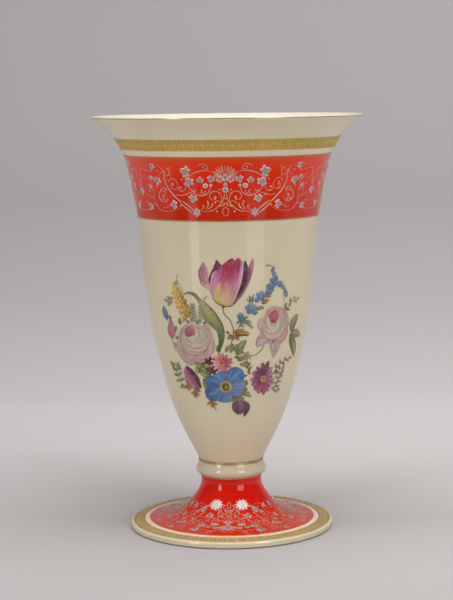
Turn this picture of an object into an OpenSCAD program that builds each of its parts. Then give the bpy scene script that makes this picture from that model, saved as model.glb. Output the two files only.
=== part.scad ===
// Footed trumpet vase of cream porcelain: bowl, collar ring and foot clamped by one bolt,
// with red and gold bands, silver scrollwork and a painted bouquet on the front.
// The vase stands on Z = 0 with its axis on Z, and its front faces -Y.

/* [Whole vase] */
// Height from the table to the gilded lip
vase_h = 350; // [310:5:400]

/* [Bowl] */
// Outside diameter at the lip
lip_d = 227.5; // [200:0.5:250]
// Thickness of the rounded lip
lip_t = 3; // [2.4:0.2:4]
// Outside diameter of the bowl's base, where it meets the collar ring
bowl_base_d = 55; // [50:0.5:58]
// Wall of the bowl above its base
bowl_wall = 4.4; // [3.2:0.2:5.4]
// Thickness of the bowl's floor round the bolt
bowl_floor_t = 9; // [7:0.5:12]

/* [Collar ring] */
// Height of the collar ring
collar_h = 14; // [10:0.5:18]
// Widest diameter of the collar ring's bead
bead_d = 59.8; // [58:0.2:66]

/* [Foot] */
// Height of the foot up to the collar ring
foot_h = 44.2; // [38:0.2:54]
// Diameter of the foot where it stands on the table
foot_d = 172.5; // [150:0.5:190]
// Narrowest diameter of the foot's neck
foot_neck_d = 50.8; // [47:0.2:51.4]
// Diameter of the foot's top face
foot_top_d = 52; // [51.6:0.2:56]
// Wall of the foot
foot_wall = 4.6; // [3.6:0.2:5.4]
// Height of the foot's upright edge
foot_edge_h = 5.6; // [5.2:0.2:7]
// Thickness of the hub that the bolt pulls on
foot_hub_t = 11; // [8:0.5:13]
// Width of the ring that touches the table
foot_ring_w = 5; // [3:0.5:8]
// Height of that ring below the foot's underside
foot_ring_h = 2.2; // [1.4:0.2:2.6]

/* [Gold and enamel] */
// Distance from the lip down to the upper gold band
gold_band_drop = 18.5; // [14:0.5:24]
// Height of the upper gold band
gold_band_h = 9; // [8:0.5:12]
// Distance from the lip down to the red band
red_band_drop = 33; // [31:0.5:40]
// Height of the red band
red_band_h = 50.5; // [40:0.5:60]
// Width of the thin gold lines
line_w = 0.8; // [0.6:0.1:1.2]
// Height of the gilding on the collar ring's shoulder
joint_gold_h = 2; // [1:0.2:3]
// Width of bare porcelain between the foot's edge and its gold band
foot_margin_w = 2.05; // [2:0.05:3]
// Width of the foot's gold band
foot_gold_w = 8.8; // [6:0.2:11]
// Width of the cream ring between the gold band and the red enamel
foot_cream_w = 5.8; // [4:0.2:8]
// Thickness of the fired enamel and gold
skin_t = 0.2; // [0.1:0.05:0.3]

/* [Ornament] */
// Scroll repeats round the bowl
band_repeats = 3; // [3:1:4]
// Scroll repeats round the foot
foot_repeats = 3; // [2:1:4]
// Height of the ornament on the bowl
band_ornament_h = 41; // [34:0.5:46]
// Slant length of the ornament on the foot
foot_ornament_w = 39; // [34:0.5:41]
// Width of the scroll lines
scroll_w = 0.9; // [0.6:0.1:1.4]
// Height of scroll lines and flowers above the surface they lie on
relief_t = 0.3; // [0.2:0.05:0.5]
// Height of the bouquet's centre above the table
bouquet_z = 177; // [160:1:200]
// Scale of the bouquet, as the width across its larger rose
rose_d = 35; // [28:0.5:40]

/* [Clamp] */
// Thread diameter of the clamp bolt
bolt_d = 6; // [5:0.5:8]
// Play of the bolt in the porcelain, on the diameter
bolt_play = 1.5; // [1:0.25:2.5]
// Diameter of the bolt's round head
bolt_head_d = 12; // [11:0.5:14]
// Height of the bolt's round head
bolt_head_h = 4; // [3:0.25:5]
// Diameter of the washer under the bolt's head
head_washer_d = 20; // [17:0.5:22]
// Diameter of the rubber sealing washer in the bowl
seal_d = 24; // [22:0.5:28]
// Thickness of the rubber sealing washer
seal_t = 2; // [1:0.25:3]
// Diameter of the cork washer under the foot's hub
cushion_d = 30; // [26:0.5:34]
// Thickness of the cork washer
cushion_t = 2; // [1:0.25:3]
// Diameter of the steel washer under the cork
steel_washer_d = 24; // [18:0.5:26]
// Thickness of the two metal washers
washer_t = 1.6; // [1:0.1:2.2]
// Width of the nut across its flats
nut_af = 10; // [9:0.5:14]
// Height of the nut
nut_h = 5; // [4:0.25:7]
// Length of thread left below the nut
thread_spare = 3; // [1:0.5:5]
// Thickness of the seats between the porcelain pieces
gasket_t = 0.5; // [0.3:0.1:1]
// Distance by which those seats stay inside the joint's edge
gasket_inset = 0.3; // [0.2:0.1:1]

/* [Hidden] */

$fn = 96;
curve_steps = 4;
lip_steps = 8;
fillet_steps = 6;
dome_steps = 6;
foot_round = 1.8;
foot_chamfer = 1;
ring_slope_w = 1.2;
bowl_floor_fillet = 6;
lip_lean = 54; // degrees that the lip leans out from upright
rim_gold_from = 40; // degrees round the lip where its gilding starts
rim_gold_to = 165; // degrees round the lip where its gilding ends
slot_w = 1.4;
slot_depth = 1.6;
thread_chamfer = 0.8;
nut_chamfer = 0.6;

// Outline of the bowl: shares of its height, and of the way from base radius to lip radius
bowl_height_shares = [0, 0.037, 0.089, 0.141, 0.21, 0.298, 0.402, 0.506, 0.61, 0.697, 0.784, 0.836, 0.878,
    0.912, 0.94, 0.964, 0.985, 1];
bowl_flare_shares = [0, 0.064, 0.153, 0.229, 0.309, 0.383, 0.454, 0.506, 0.538, 0.563, 0.604, 0.639, 0.675,
    0.722, 0.774, 0.85, 0.932, 1];
// Outline of the collar ring's bead: shares of its height, and of its swell over the joints
bead_height_shares = [0, 0.05, 0.12, 0.23, 0.4, 0.54, 0.64, 0.74, 0.85, 1];
bead_swell_shares = [0, 0.34, 0.66, 0.9, 1, 0.78, 0.5, 0.24, 0.08, 0];
bead_top_share = 0.4;
// Outline of the foot: shares of its height, and of the way from neck radius to the flange's end
foot_height_shares = [0.145, 0.167, 0.192, 0.22, 0.256, 0.306, 0.374, 0.453, 0.555, 0.68, 0.815, 0.916, 1];
foot_flare_shares = [0.87, 0.745, 0.63, 0.518, 0.42, 0.332, 0.257, 0.191, 0.123, 0.058, 0.01, 0, 0.01];

bowl_z = foot_h + collar_h + 2 * gasket_t;
collar_z = foot_h + gasket_t;
lip_r = lip_d / 2 - skin_t;
lip_centre = [lip_r - lip_t / 2, vase_h - skin_t - lip_t / 2];
lip_out = [cos(lip_lean), -sin(lip_lean)];
lip_along = [sin(lip_lean), cos(lip_lean)];
bowl_end = lip_centre + lip_out * lip_t / 2;
bore_d = bolt_d + bolt_play;

floor_z = bowl_z + bowl_floor_t;
seal_z = floor_z + seal_t;
head_z = seal_z + washer_t;
hub_z = foot_h - foot_hub_t;
nut_z = hub_z - cushion_t - washer_t - nut_h;
bolt_end_z = nut_z - thread_spare;

foot_gold_outer_d = foot_d - 2 * foot_margin_w;
foot_gold_inner_d = foot_gold_outer_d - 2 * foot_gold_w;
foot_red_d = foot_gold_inner_d - 2 * foot_cream_w;
gold_top_z = vase_h - gold_band_drop;
gold_bottom_z = gold_top_z - gold_band_h;
red_top_z = vase_h - red_band_drop;
red_bottom_z = red_top_z - red_band_h;
ornament_z = (red_top_z + red_bottom_z - band_ornament_h) / 2;

// Smooth curve through points placed by hand
function run(p, i) = norm(p[i + 1] - p[i]);
function heading(p, i) =
    i == 0 ? (p[1] - p[0]) / run(p, 0) :
    i == len(p) - 1 ? (p[i] - p[i - 1]) / run(p, i - 1) :
    ((p[i] - p[i - 1]) * run(p, i) / run(p, i - 1) + (p[i + 1] - p[i]) * run(p, i - 1) / run(p, i))
        / (run(p, i - 1) + run(p, i));
function on_curve(p, i, t) =
    p[i] * (2 * t - 3) * t * t + p[i] + heading(p, i) * run(p, i) * ((t - 2) * t + 1) * t
        + p[i + 1] * (3 - 2 * t) * t * t + heading(p, i + 1) * run(p, i) * (t - 1) * t * t;
function smooth(p) = concat(
    [for (i = [0:len(p) - 2], k = [0:curve_steps - 1]) on_curve(p, i, k / curve_steps)],
    [p[len(p) - 1]]);

// Unit normal on the right-hand side of an outline that runs upwards
function normal(p, i) =
    let (d = p[min(i + 1, len(p) - 1)] - p[max(i - 1, 0)]) [d[1], -d[0]] / norm(d);
function shifted(p, t) = [for (i = [0:len(p) - 1]) p[i] + normal(p, i) * t];
function flipped(p) = [for (i = [len(p) - 1:-1:0]) p[i]];

// Radius of an outline at a height, and the stretch of it between two heights
function radius_at(p, z) = lookup(z, [for (q = p) [q[1], q[0]]]);
function stretch(p, a, b) = concat(
    [[radius_at(p, a), a]],
    [for (q = p) if (q[1] > a && q[1] < b) q],
    [[radius_at(p, b), b]]);

bowl_line = smooth([for (i = [0:len(bowl_height_shares) - 1]) [
    bowl_base_d / 2 + (bowl_end[0] - bowl_base_d / 2) * bowl_flare_shares[i],
    bowl_z + (bowl_end[1] - bowl_z) * bowl_height_shares[i]]]);
bowl_inner_line = [for (i = [0:len(bowl_line) - 1])
    let (share = i / (len(bowl_line) - 1))
    i == len(bowl_line) - 1 ? bowl_line[i] - lip_out * lip_t :
    bowl_line[i] - normal(bowl_line, i) * (bowl_wall * (1 - share) + lip_t * share)];
bead_line = smooth([for (i = [0:len(bead_height_shares) - 1]) [
    let (joint_r = (bead_height_shares[i] < bead_top_share ? foot_top_d : bowl_base_d) / 2)
    joint_r + (bead_d / 2 - joint_r) * bead_swell_shares[i],
    collar_z + collar_h * bead_height_shares[i]]]);
flange_end = [foot_d / 2 - foot_round, foot_edge_h];
foot_line = smooth(concat([flange_end], [for (i = [0:len(foot_height_shares) - 1]) [
    i == len(foot_height_shares) - 1 ? foot_top_d / 2 :
    foot_neck_d / 2 + (flange_end[0] - foot_neck_d / 2) * foot_flare_shares[i],
    foot_h * foot_height_shares[i]]]));
foot_inner_line = shifted(foot_line, -foot_wall);

// Height of the foot's upper face at a radius out on the flare
function flare_z(r) = lookup(-r, [for (q = foot_line) if (q[1] < hub_z) [-q[0], q[1]]]);

function arc(centre, r, a, b, steps) = [for (k = [0:steps])
    let (turn = a + (b - a) * k / steps) centre + (lip_out * cos(turn) + lip_along * sin(turn)) * r];

module turned(points) {
    rotate_extrude() polygon(points);
}

// Thin fired layer on a stretch of an outline
module fired_layer(line) {
    turned(concat(line, flipped(shifted(line, skin_t))));
}

module ring(outer_d, inner_d, z, t) {
    turned([[inner_d / 2, z], [outer_d / 2, z], [outer_d / 2, z + t], [inner_d / 2, z + t]]);
}

module bowl() {
    wall = [for (q = bowl_inner_line) if (q[1] > floor_z + bowl_floor_fillet / 2) q];
    corner = [radius_at(bowl_inner_line, floor_z), floor_z];
    start = corner - [bowl_floor_fillet, 0];
    fillet = [for (k = [0:fillet_steps - 1]) let (t = k / fillet_steps)
        start * (1 - t) * (1 - t) + corner * 2 * t * (1 - t) + wall[0] * t * t];
    color("antiquewhite") turned(concat(
        [[bore_d / 2, bowl_z]], bowl_line, arc(lip_centre, lip_t / 2, 0, 180, lip_steps), flipped(wall),
        flipped(fillet), [[bore_d / 2, floor_z]]));
}

module collar_ring() {
    color("antiquewhite") turned(concat(
        [[bore_d / 2, collar_z]], bead_line, [[bore_d / 2, collar_z + collar_h]]));
}

module foot() {
    ring_outer = foot_d / 2 - foot_chamfer;
    ring_inner = ring_outer - foot_ring_w;
    under = [for (q = foot_inner_line) if (q[1] > foot_ring_h && q[1] < hub_z) q];
    edge_centre = flange_end - [0, foot_round];
    edge = [for (k = [0:fillet_steps - 1]) let (turn = 90 * k / fillet_steps)
        edge_centre + [cos(turn), sin(turn)] * foot_round];
    color("antiquewhite") turned(concat(
        [[ring_outer, 0], [foot_d / 2, foot_chamfer]], edge, foot_line,
        [[bore_d / 2, foot_h], [bore_d / 2, hub_z], [radius_at(foot_inner_line, hub_z), hub_z]],
        flipped(under), [[ring_inner - ring_slope_w, foot_ring_h], [ring_inner, 0]]));
}

module bowl_gasket() {
    color("saddlebrown") ring(bowl_base_d - 2 * gasket_inset, bore_d, bowl_z - gasket_t, gasket_t);
}

module foot_gasket() {
    color("saddlebrown") ring(foot_top_d - 2 * gasket_inset, bore_d, foot_h, gasket_t);
}

module through_bolt() {
    dome_r = (bolt_head_d * bolt_head_d / 4 + bolt_head_h * bolt_head_h) / (2 * bolt_head_h);
    top_z = head_z + bolt_head_h;
    dome = [for (k = [0:dome_steps]) let (r = bolt_head_d / 2 * (1 - k / dome_steps))
        [r, top_z - dome_r + sqrt(dome_r * dome_r - r * r)]];
    color("goldenrod") difference() {
        turned(concat([[0, bolt_end_z], [bolt_d / 2 - thread_chamfer, bolt_end_z],
            [bolt_d / 2, bolt_end_z + thread_chamfer], [bolt_d / 2, head_z]], dome));
        translate([-bolt_head_d / 2, -slot_w / 2, top_z - slot_depth])
            cube([bolt_head_d, slot_w, bolt_head_h]);
    }
}

module head_washer() {
    color("gold") ring(head_washer_d, bolt_d, seal_z, washer_t);
}

module sealing_washer() {
    color("dimgray") ring(seal_d, bolt_d, floor_z, seal_t);
}

module cushion_washer() {
    color("peru") ring(cushion_d, bolt_d, hub_z - cushion_t, cushion_t);
}

module steel_washer() {
    color("silver") ring(steel_washer_d, bolt_d, hub_z - cushion_t - washer_t, washer_t);
}

module clamp_nut() {
    corner_d = nut_af / cos(30);
    color("silver") difference() {
        intersection() {
            translate([0, 0, nut_z]) cylinder(d = corner_d, h = nut_h, $fn = 6);
            turned([[0, nut_z], [nut_af / 2, nut_z], [corner_d / 2, nut_z + nut_chamfer],
                [corner_d / 2, nut_z + nut_h], [0, nut_z + nut_h]]);
        }
        translate([0, 0, nut_z - nut_h]) cylinder(d = bolt_d, h = 3 * nut_h);
    }
}

module rim_gilding() {
    inner = arc(lip_centre, lip_t / 2, rim_gold_from, rim_gold_to, lip_steps);
    outer = arc(lip_centre, lip_t / 2 + skin_t, rim_gold_from, rim_gold_to, lip_steps);
    color("gold") turned(concat(inner, flipped(outer)));
}

module upper_gold_band() {
    color("darkkhaki") fired_layer(stretch(bowl_line, gold_bottom_z, gold_top_z));
}

module upper_red_band() {
    color("firebrick") fired_layer(stretch(bowl_line, red_bottom_z, red_top_z));
}

module red_band_lines() {
    color("darkgoldenrod") {
        fired_layer(stretch(bowl_line, red_top_z, red_top_z + line_w));
        fired_layer(stretch(bowl_line, red_bottom_z - line_w, red_bottom_z));
    }
}

module joint_gilding() {
    color("darkgoldenrod") fired_layer(
        stretch(bead_line, collar_z + collar_h - joint_gold_h, collar_z + collar_h));
}

module foot_red_enamel() {
    color("firebrick") fired_layer(stretch(foot_line, flare_z(foot_red_d / 2), foot_h));
}

module foot_gold_band() {
    color("darkkhaki") fired_layer(
        stretch(foot_line, flare_z(foot_gold_outer_d / 2), flare_z(foot_gold_inner_d / 2)));
}

module foot_gold_lines() {
    color("darkgoldenrod") {
        fired_layer(stretch(foot_line, flare_z(foot_red_d / 2 + line_w), flare_z(foot_red_d / 2)));
        fired_layer(
            stretch(foot_line, flare_z(foot_gold_inner_d / 2), flare_z(foot_gold_inner_d / 2 - line_w)));
    }
}

// Ornament. A place on it is a pair: distance to the right, and up, seen from outside.
// Scroll strokes and leaves of half a repeat, as shares of the ornament's height, with the
// palmette's axis at 0, the pendant loop at the bottom and the fan at the top.
repeat_width_share = 3.1;
stem_shares = [[0.02, 0.46], [0.03, 0.37], [0.08, 0.27], [0.15, 0.18], [0.24, 0.12], [0.35, 0.09],
    [0.5, 0.085]];
curl_shares = [[0.08, 0.31], [0.1, 0.43], [0.19, 0.49], [0.28, 0.46], [0.3, 0.37], [0.25, 0.32], [0.2, 0.36]];
scroll_shares = [[0.09, 0.74], [0.18, 0.83], [0.3, 0.885], [0.45, 0.89], [0.6, 0.85], [0.7, 0.77],
    [0.74, 0.66], [0.7, 0.54], [0.61, 0.46], [0.48, 0.41], [0.37, 0.45], [0.31, 0.54], [0.26, 0.59],
    [0.18, 0.57]];
bar_shares = [[0.62, 0.07], [0.76, 0.17], [0.9, 0.28], [1.02, 0.42], [1.12, 0.55], [1.15, 0.7], [1.17, 0.88]];
hook_shares = [[0.5, 0.95], [0.44, 0.93], [0.37, 0.96], [0.38, 1.0], [0.46, 1.02]];
vine_shares = [[0.9, 0.16], [1.06, 0.11], [1.26, 0.09], [1.4, 0.18], [1.48, 0.32], [1.5, 0.5], [1.52, 0.7]];
tail_shares = [[0.74, 0.64], [0.77, 0.55], [0.83, 0.49], [0.9, 0.52], [0.86, 0.56]];
strokes = [stem_shares, curl_shares, scroll_shares, bar_shares, hook_shares, vine_shares, tail_shares];
// Leaves and flowers of half a repeat: place, length, direction in degrees
leaf_shares = [[0.26, 0.74, 0.15, 120], [0.79, 0.91, 0.2, 60], [0.64, 0.35, 0.2, -20], [0.52, 0.68, 0.12, 90],
    [1.05, 0.24, 0.16, 80], [0.58, 0.05, 0.12, -100], [1.38, 0.7, 0.16, 100], [0.38, 0.62, 0.08, 0]];
fan_rays = 7;
fan_spread = 60; // degrees from the axis to the last ray
fan_root_shares = [0, 0.68];
fan_ray_share = 0.31;
fan_ray_w_share = 0.06;
loop_w_share = 0.07;
loop_h_share = 0.085;
leaf_w_share = 0.75;
foot_scroll_gap = 5;
seat_gap = 0.1;
$cutter = false;

// Outline of a leaf from base to tip and back, as shares of its length and half-width
leaf_outline_shares = [[0, 0], [0.25, -0.8], [0.5, -1], [0.78, -0.6], [1, 0], [0.78, 0.6], [0.5, 1],
    [0.25, 0.8]];

function along(line, i) = i == 0 ? 0 : along(line, i - 1) + run(line, i - 1);
foot_path = stretch(foot_line, flare_z(foot_red_d / 2), foot_h);
foot_r_by_length = [for (i = [0:len(foot_path) - 1]) [along(foot_path, i), foot_path[i][0]]];
foot_z_by_length = [for (i = [0:len(foot_path) - 1]) [along(foot_path, i), foot_path[i][1]]];
function foot_at(s) = [lookup(s, foot_r_by_length), lookup(s, foot_z_by_length)];

function round_axis(turn, q) = [q[0] * sin(turn), -q[0] * cos(turn), q[1]];
function share_turn(x, repeats) = x * 360 / repeats / repeat_width_share;
function band_place(p, lift, turn) =
    let (z = ornament_z + band_ornament_h * p[1])
    round_axis(turn + share_turn(p[0], band_repeats), [radius_at(bowl_line, z) + skin_t + lift, z]);
function foot_place(p, lift, turn) =
    let (s = foot_scroll_gap + foot_ornament_w * (1 - p[1]), d = foot_at(s + line_w) - foot_at(s - line_w))
    round_axis(turn + share_turn(-p[0], foot_repeats),
        foot_at(s) + [d[1], -d[0]] / norm(d) * (skin_t + lift));
function front_place(p, lift) =
    let (z = bouquet_z + p[1], r = radius_at(bowl_line, z))
    round_axis(p[0] / r * 180 / PI, [r + lift, z]);
function place(where, p, lift, turn) =
    where == "band" ? band_place(p, lift, turn) :
    where == "foot" ? foot_place(p, lift, turn) : front_place(p, lift);

function mirrored(p, side) = [for (q = p) [side * q[0], q[1]]];
function leaf(base, length, half_w, turn) = [for (q = leaf_outline_shares)
    base + length * q[0] * [cos(turn), sin(turn)] + half_w * q[1] * [-sin(turn), cos(turn)]];
function middle(p) = [for (i = [0, 1]) (max([for (q = p) q[i]]) + min([for (q = p) q[i]])) / 2];

// Raised line with a ridge, narrow at both ends
module ribbon(where, p, w, turn = 0) {
    n = len(p);
    side = [for (i = [0:n - 1]) let (d = p[min(i + 1, n - 1)] - p[max(i - 1, 0)]) [-d[1], d[0]] / norm(d)];
    half = [for (i = [0:n - 1]) w / 2 * (i == 0 || i == n - 1 ? 1 / 2 : 1)];
    points = [for (i = [0:n - 1]) each [
        place(where, p[i] + side[i] * half[i], seat_gap, turn),
        place(where, p[i], seat_gap + relief_t, turn),
        place(where, p[i] - side[i] * half[i], seat_gap, turn)]];
    walls = [for (i = [0:n - 2], k = [0:2]) let (a = 3 * i + k, b = 3 * i + (k + 1) % 3)
        each [[a, a + 3, b], [b, a + 3, b + 3]]];
    polyhedron(points, concat(walls, [[0, 1, 2], [3 * n - 1, 3 * n - 2, 3 * n - 3]]));
}

// Raised patch inside an outline that runs anticlockwise, in rings from its middle. As a cutter it
// grows up and down, and so clears the way for itself in what lies behind it.
module patch(where, outline, rings, ribs = 0, turn = 0) {
    grown = $cutter ? relief_t : 0;
    floor_lift = $cutter ? 0 : seat_gap;
    n = len(outline);
    centre = middle(outline);
    function crown(k, j) = seat_gap + grown + relief_t * (1 - k / rings / 2)
        + (ribs > 0 && k > 0 && k < rings ? relief_t * cos(360 * j * ribs / n) / 2 : 0);
    upper = [for (k = [1:rings], j = [0:n - 1])
        place(where, centre + (outline[j] - centre) * k / rings, crown(k, j), turn)];
    lower = [for (k = [1:rings], j = [0:n - 1])
        place(where, centre + (outline[j] - centre) * k / rings, floor_lift, turn)];
    low = 2 + n * rings;
    middles = [place(where, centre, crown(0, 0), turn), place(where, centre, floor_lift, turn)];
    faces = [for (j = [0:n - 1]) let (next = (j + 1) % n) each concat(
        [[0, 2 + next, 2 + j], [1, low + j, low + next]],
        [for (k = [0:1:rings - 2]) let (a = k * n + j, b = k * n + next) each [
            [2 + a, 2 + b, 2 + b + n], [2 + a, 2 + b + n, 2 + a + n],
            [low + a, low + b + n, low + b], [low + a, low + a + n, low + b + n]]],
        [let (a = (rings - 1) * n + j, b = (rings - 1) * n + next) each [
            [2 + a, 2 + b, low + b], [2 + a, low + b, low + a]]])];
    polyhedron(concat(middles, upper, lower), faces);
}

module scroll_lines(where, repeats, height) {
    w = scroll_w / height;
    pendant = [for (a = [-60:40:240]) [loop_w_share * cos(a), loop_h_share * (1 + sin(a))]];
    for (turn = [0:360 / repeats:359]) {
        for (side = [-1, 1], s = strokes) ribbon(where, mirrored(s, side), w, turn);
        ribbon(where, pendant, w, turn);
    }
}

module scroll_leaves(where, repeats) {
    for (turn = [0:360 / repeats:359]) {
        for (q = leaf_shares) {
            outline = leaf([q[0], q[1]], q[2], q[2] * leaf_w_share / 2, q[3]);
            patch(where, outline, 1, 0, turn);
            patch(where, flipped(mirrored(outline, -1)), 1, 0, turn);
        }
        for (i = [0:fan_rays - 1]) {
            lean = 90 + fan_spread * (2 * i / (fan_rays - 1) - 1);
            root = fan_root_shares + [cos(lean), sin(lean)] * fan_ray_share / 3;
            patch(where, leaf(root, fan_ray_share * 2 / 3, fan_ray_w_share / 2, lean), 1, 0, turn);
        }
    }
}

module band_scrollwork() {
    color("lightgray") difference() {
        scroll_lines("band", band_repeats, band_ornament_h);
        scroll_leaves("band", band_repeats, $cutter = true);
    }
}

module band_leaves() {
    color("silver") scroll_leaves("band", band_repeats);
}

module foot_scrollwork() {
    color("lightgray") difference() {
        scroll_lines("foot", foot_repeats, foot_ornament_w);
        scroll_leaves("foot", foot_repeats, $cutter = true);
    }
}

module foot_leaves() {
    color("silver") scroll_leaves("foot", foot_repeats);
}

// Bouquet. Places are shares of the larger rose's width, from the bouquet's centre.
// Flowers: place, half-width and half-height, number of petals, depth of the gaps between them
right_rose_shares = [1.08, 0.04, 0.5, 0.58, 7, 0.12];
left_rose_shares = [-0.77, -0.33, 0.5, 0.5, 7, 0.12];
anemone_shares = [-0.13, -1.35, 0.48, 0.44, 6, 0.2];
pink_daisy_shares = [-0.2, -0.76, 0.23, 0.25, 9, 0.3];
dark_daisy_shares = [-0.6, -0.8, 0.18, 0.16, 8, 0.3];
right_aster_shares = [0.83, -1.18, 0.3, 0.4, 10, 0.3];
left_aster_shares = [-0.92, -1.2, 0.24, 0.24, 9, 0.3];
purple_bud_shares = [0.25, -1.88, 0.22, 0.2, 6, 0.2];
pink_bud_shares = [-1.5, -0.06, 0.16, 0.2, 5, 0.15];
blue_bud_shares = [-1.73, 0.33, 0.13, 0.16, 5, 0.15];
// Tulip: its three petals, each by base, length, half-width and direction in degrees
tulip_shares = [[-0.1, 0.6, 0.98, 0.25, 116], [-0.04, 0.62, 1.12, 0.24, 78], [0.06, 0.58, 0.98, 0.2, 52]];
// Sprays: first and last place of the row, number of florets, size of a floret
yellow_spray_shares = [-1.24, 1.32, -1.07, 0.2, 8, 0.09];
blue_spray_shares = [0.96, 1.46, 0.24, 0.34, 9, 0.1];
blue_tip_shares = [1.5, 1.1, 1.28, 0.62, 4, 0.08];
floret_sides = 6;
// Stems and the long leaf, as points from top to bottom
stem_lines_shares = [
    [[-0.02, 0.6], [0.06, 0.2], [0.04, -0.1], [-0.06, -0.46]],
    [[0.24, 0.34], [0.16, 0.1], [0.1, -0.2]],
    [[-1.07, 0.2], [-1.02, 0.02], [-0.96, -0.1]],
    [[0.56, -0.46], [0.5, -0.7], [0.6, -0.9]]];
long_leaf_shares = [[-1.1, 0.9], [-0.86, 0.72], [-0.6, 0.52], [-0.34, 0.26], [-0.16, 0.0], [-0.16, -0.3],
    [-0.24, -0.56]];
long_leaf_w_share = 0.2;
stem_w_share = 0.04;
// Leaves: base, length, direction in degrees
spray_leaf_shares = [[-1.15, -1.3, 0.3, 200], [-0.55, -1.82, 0.32, 250], [0.98, -1.62, 0.32, -60],
    [1.62, 0.1, 0.36, 60], [1.6, -0.45, 0.34, -70], [1.3, -0.8, 0.34, -40], [0.3, -0.3, 0.34, 30],
    [0.24, 0.1, 0.28, 60], [-1.42, -0.42, 0.34, 210], [-1.3, 0.16, 0.26, 110], [0.5, -0.72, 0.36, 20],
    [-0.3, -0.32, 0.26, 150], [0.62, -1.68, 0.28, -30], [-0.95, -0.9, 0.3, 230]];

function petalled(q) = [for (k = [0:4 * q[4] - 1]) let (turn = 90 * k / q[4])
    rose_d * [q[0] + q[2] * cos(turn) * (1 - q[5] * (1 + cos(q[4] * turn)) / 2),
        q[1] + q[3] * sin(turn) * (1 - q[5] * (1 + cos(q[4] * turn)) / 2)]];

module flower(q, rings = 3) {
    patch("front", petalled(q), rings, q[4]);
}

module spray(q) {
    first = [q[0], q[1]];
    last = [q[2], q[3]];
    for (k = [0:q[4] - 1]) {
        floret = first + (last - first) * k / (q[4] - 1);
        patch("front", [for (i = [0:floret_sides - 1])
            rose_d * (floret + q[5] / 2 * [cos(360 * i / floret_sides), sin(360 * i / floret_sides)])], 1);
    }
}

module roses() {
    flower(right_rose_shares);
    flower(left_rose_shares);
}

module blue_flowers() {
    flower(anemone_shares);
    flower(blue_bud_shares, 1);
    spray(blue_spray_shares);
    spray(blue_tip_shares);
}

module purple_flowers() {
    flower(pink_daisy_shares, 2);
    flower(dark_daisy_shares, 2);
    flower(right_aster_shares, 2);
    flower(left_aster_shares, 2);
    flower(purple_bud_shares, 2);
    flower(pink_bud_shares, 1);
}

module foliage() {
    ribbon("front", rose_d * long_leaf_shares, rose_d * long_leaf_w_share);
    for (s = stem_lines_shares) ribbon("front", rose_d * s, rose_d * stem_w_share);
    for (q = spray_leaf_shares) {
        length = rose_d * q[2];
        patch("front", leaf(rose_d * [q[0], q[1]], length, length * leaf_w_share / 2, q[3]), 1);
    }
}

module bouquet_tulip() {
    color("mediumvioletred") for (q = tulip_shares)
        patch("front", leaf(rose_d * [q[0], q[1]], rose_d * q[2], rose_d * q[3], q[4]), 2);
}

module bouquet_roses() {
    color("mistyrose") roses();
}

module bouquet_blue_flowers() {
    color("cornflowerblue") blue_flowers();
}

// Paint that lies behind other flowers leaves out the ground that they cover
module bouquet_purple_flowers() {
    color("mediumorchid") difference() {
        purple_flowers();
        roses($cutter = true);
        blue_flowers($cutter = true);
    }
}

module bouquet_yellow_spray() {
    color("goldenrod") spray(yellow_spray_shares);
}

module bouquet_foliage() {
    color("olivedrab") difference() {
        foliage();
        roses($cutter = true);
        blue_flowers($cutter = true);
        purple_flowers($cutter = true);
        spray(yellow_spray_shares, $cutter = true);
    }
}

bowl();
collar_ring();
foot();
bowl_gasket();
foot_gasket();
through_bolt();
head_washer();
sealing_washer();
cushion_washer();
steel_washer();
clamp_nut();
rim_gilding();
upper_gold_band();
upper_red_band();
red_band_lines();
joint_gilding();
foot_red_enamel();
foot_gold_band();
foot_gold_lines();
band_scrollwork();
band_leaves();
foot_scrollwork();
foot_leaves();
bouquet_tulip();
bouquet_roses();
bouquet_blue_flowers();
bouquet_purple_flowers();
bouquet_yellow_spray();
bouquet_foliage();
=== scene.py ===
import math
import random
import bpy
from mathutils import Matrix, Vector


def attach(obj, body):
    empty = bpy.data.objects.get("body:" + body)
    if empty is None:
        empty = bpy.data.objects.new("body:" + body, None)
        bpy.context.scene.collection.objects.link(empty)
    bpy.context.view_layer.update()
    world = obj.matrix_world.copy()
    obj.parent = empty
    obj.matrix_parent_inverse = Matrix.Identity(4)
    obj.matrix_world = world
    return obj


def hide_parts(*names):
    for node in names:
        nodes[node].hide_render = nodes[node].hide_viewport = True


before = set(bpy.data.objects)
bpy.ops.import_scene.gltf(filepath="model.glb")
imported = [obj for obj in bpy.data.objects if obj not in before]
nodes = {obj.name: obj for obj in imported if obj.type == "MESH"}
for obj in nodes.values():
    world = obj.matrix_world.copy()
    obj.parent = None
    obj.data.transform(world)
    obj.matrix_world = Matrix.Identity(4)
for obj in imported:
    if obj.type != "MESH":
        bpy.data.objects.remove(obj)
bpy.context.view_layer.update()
mm = 0.001
# rays run this far beside the plane y = 0, so that none meets the solids on an edge
hair = 0.00001
print("frame loaded,", len(nodes), "nodes")

# how bright a plain surface facing the camera comes out, so that paint can be mixed to the picture's colours
lightLevel = 0.87
whitest = 0.96


def linear(channel):
    c = channel / 255
    return c / 12.92 if c <= 0.04045 else ((c + 0.055) / 1.055) ** 2.4


def tone(r, g, b):
    # a colour as seen on the lit vase, turned into the colour of the paint
    return tuple(min(whitest, linear(c) / lightLevel) for c in (r, g, b))


def deselectAll():
    if bpy.context.object and bpy.context.object.mode != "OBJECT":
        bpy.ops.object.mode_set(mode="OBJECT")
    bpy.ops.object.select_all(action="DESELECT")


def makeActive(obj):
    deselectAll()
    obj.select_set(True)
    bpy.context.view_layer.objects.active = obj


# The camera, fitted to the picture.
cameraSetup = dict(distance=1.443, height=0.368, lens=102.9, pitch=6.89, roll=-0.70, yaw=0.092,
                   sensor=36, farthest=50)


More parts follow.
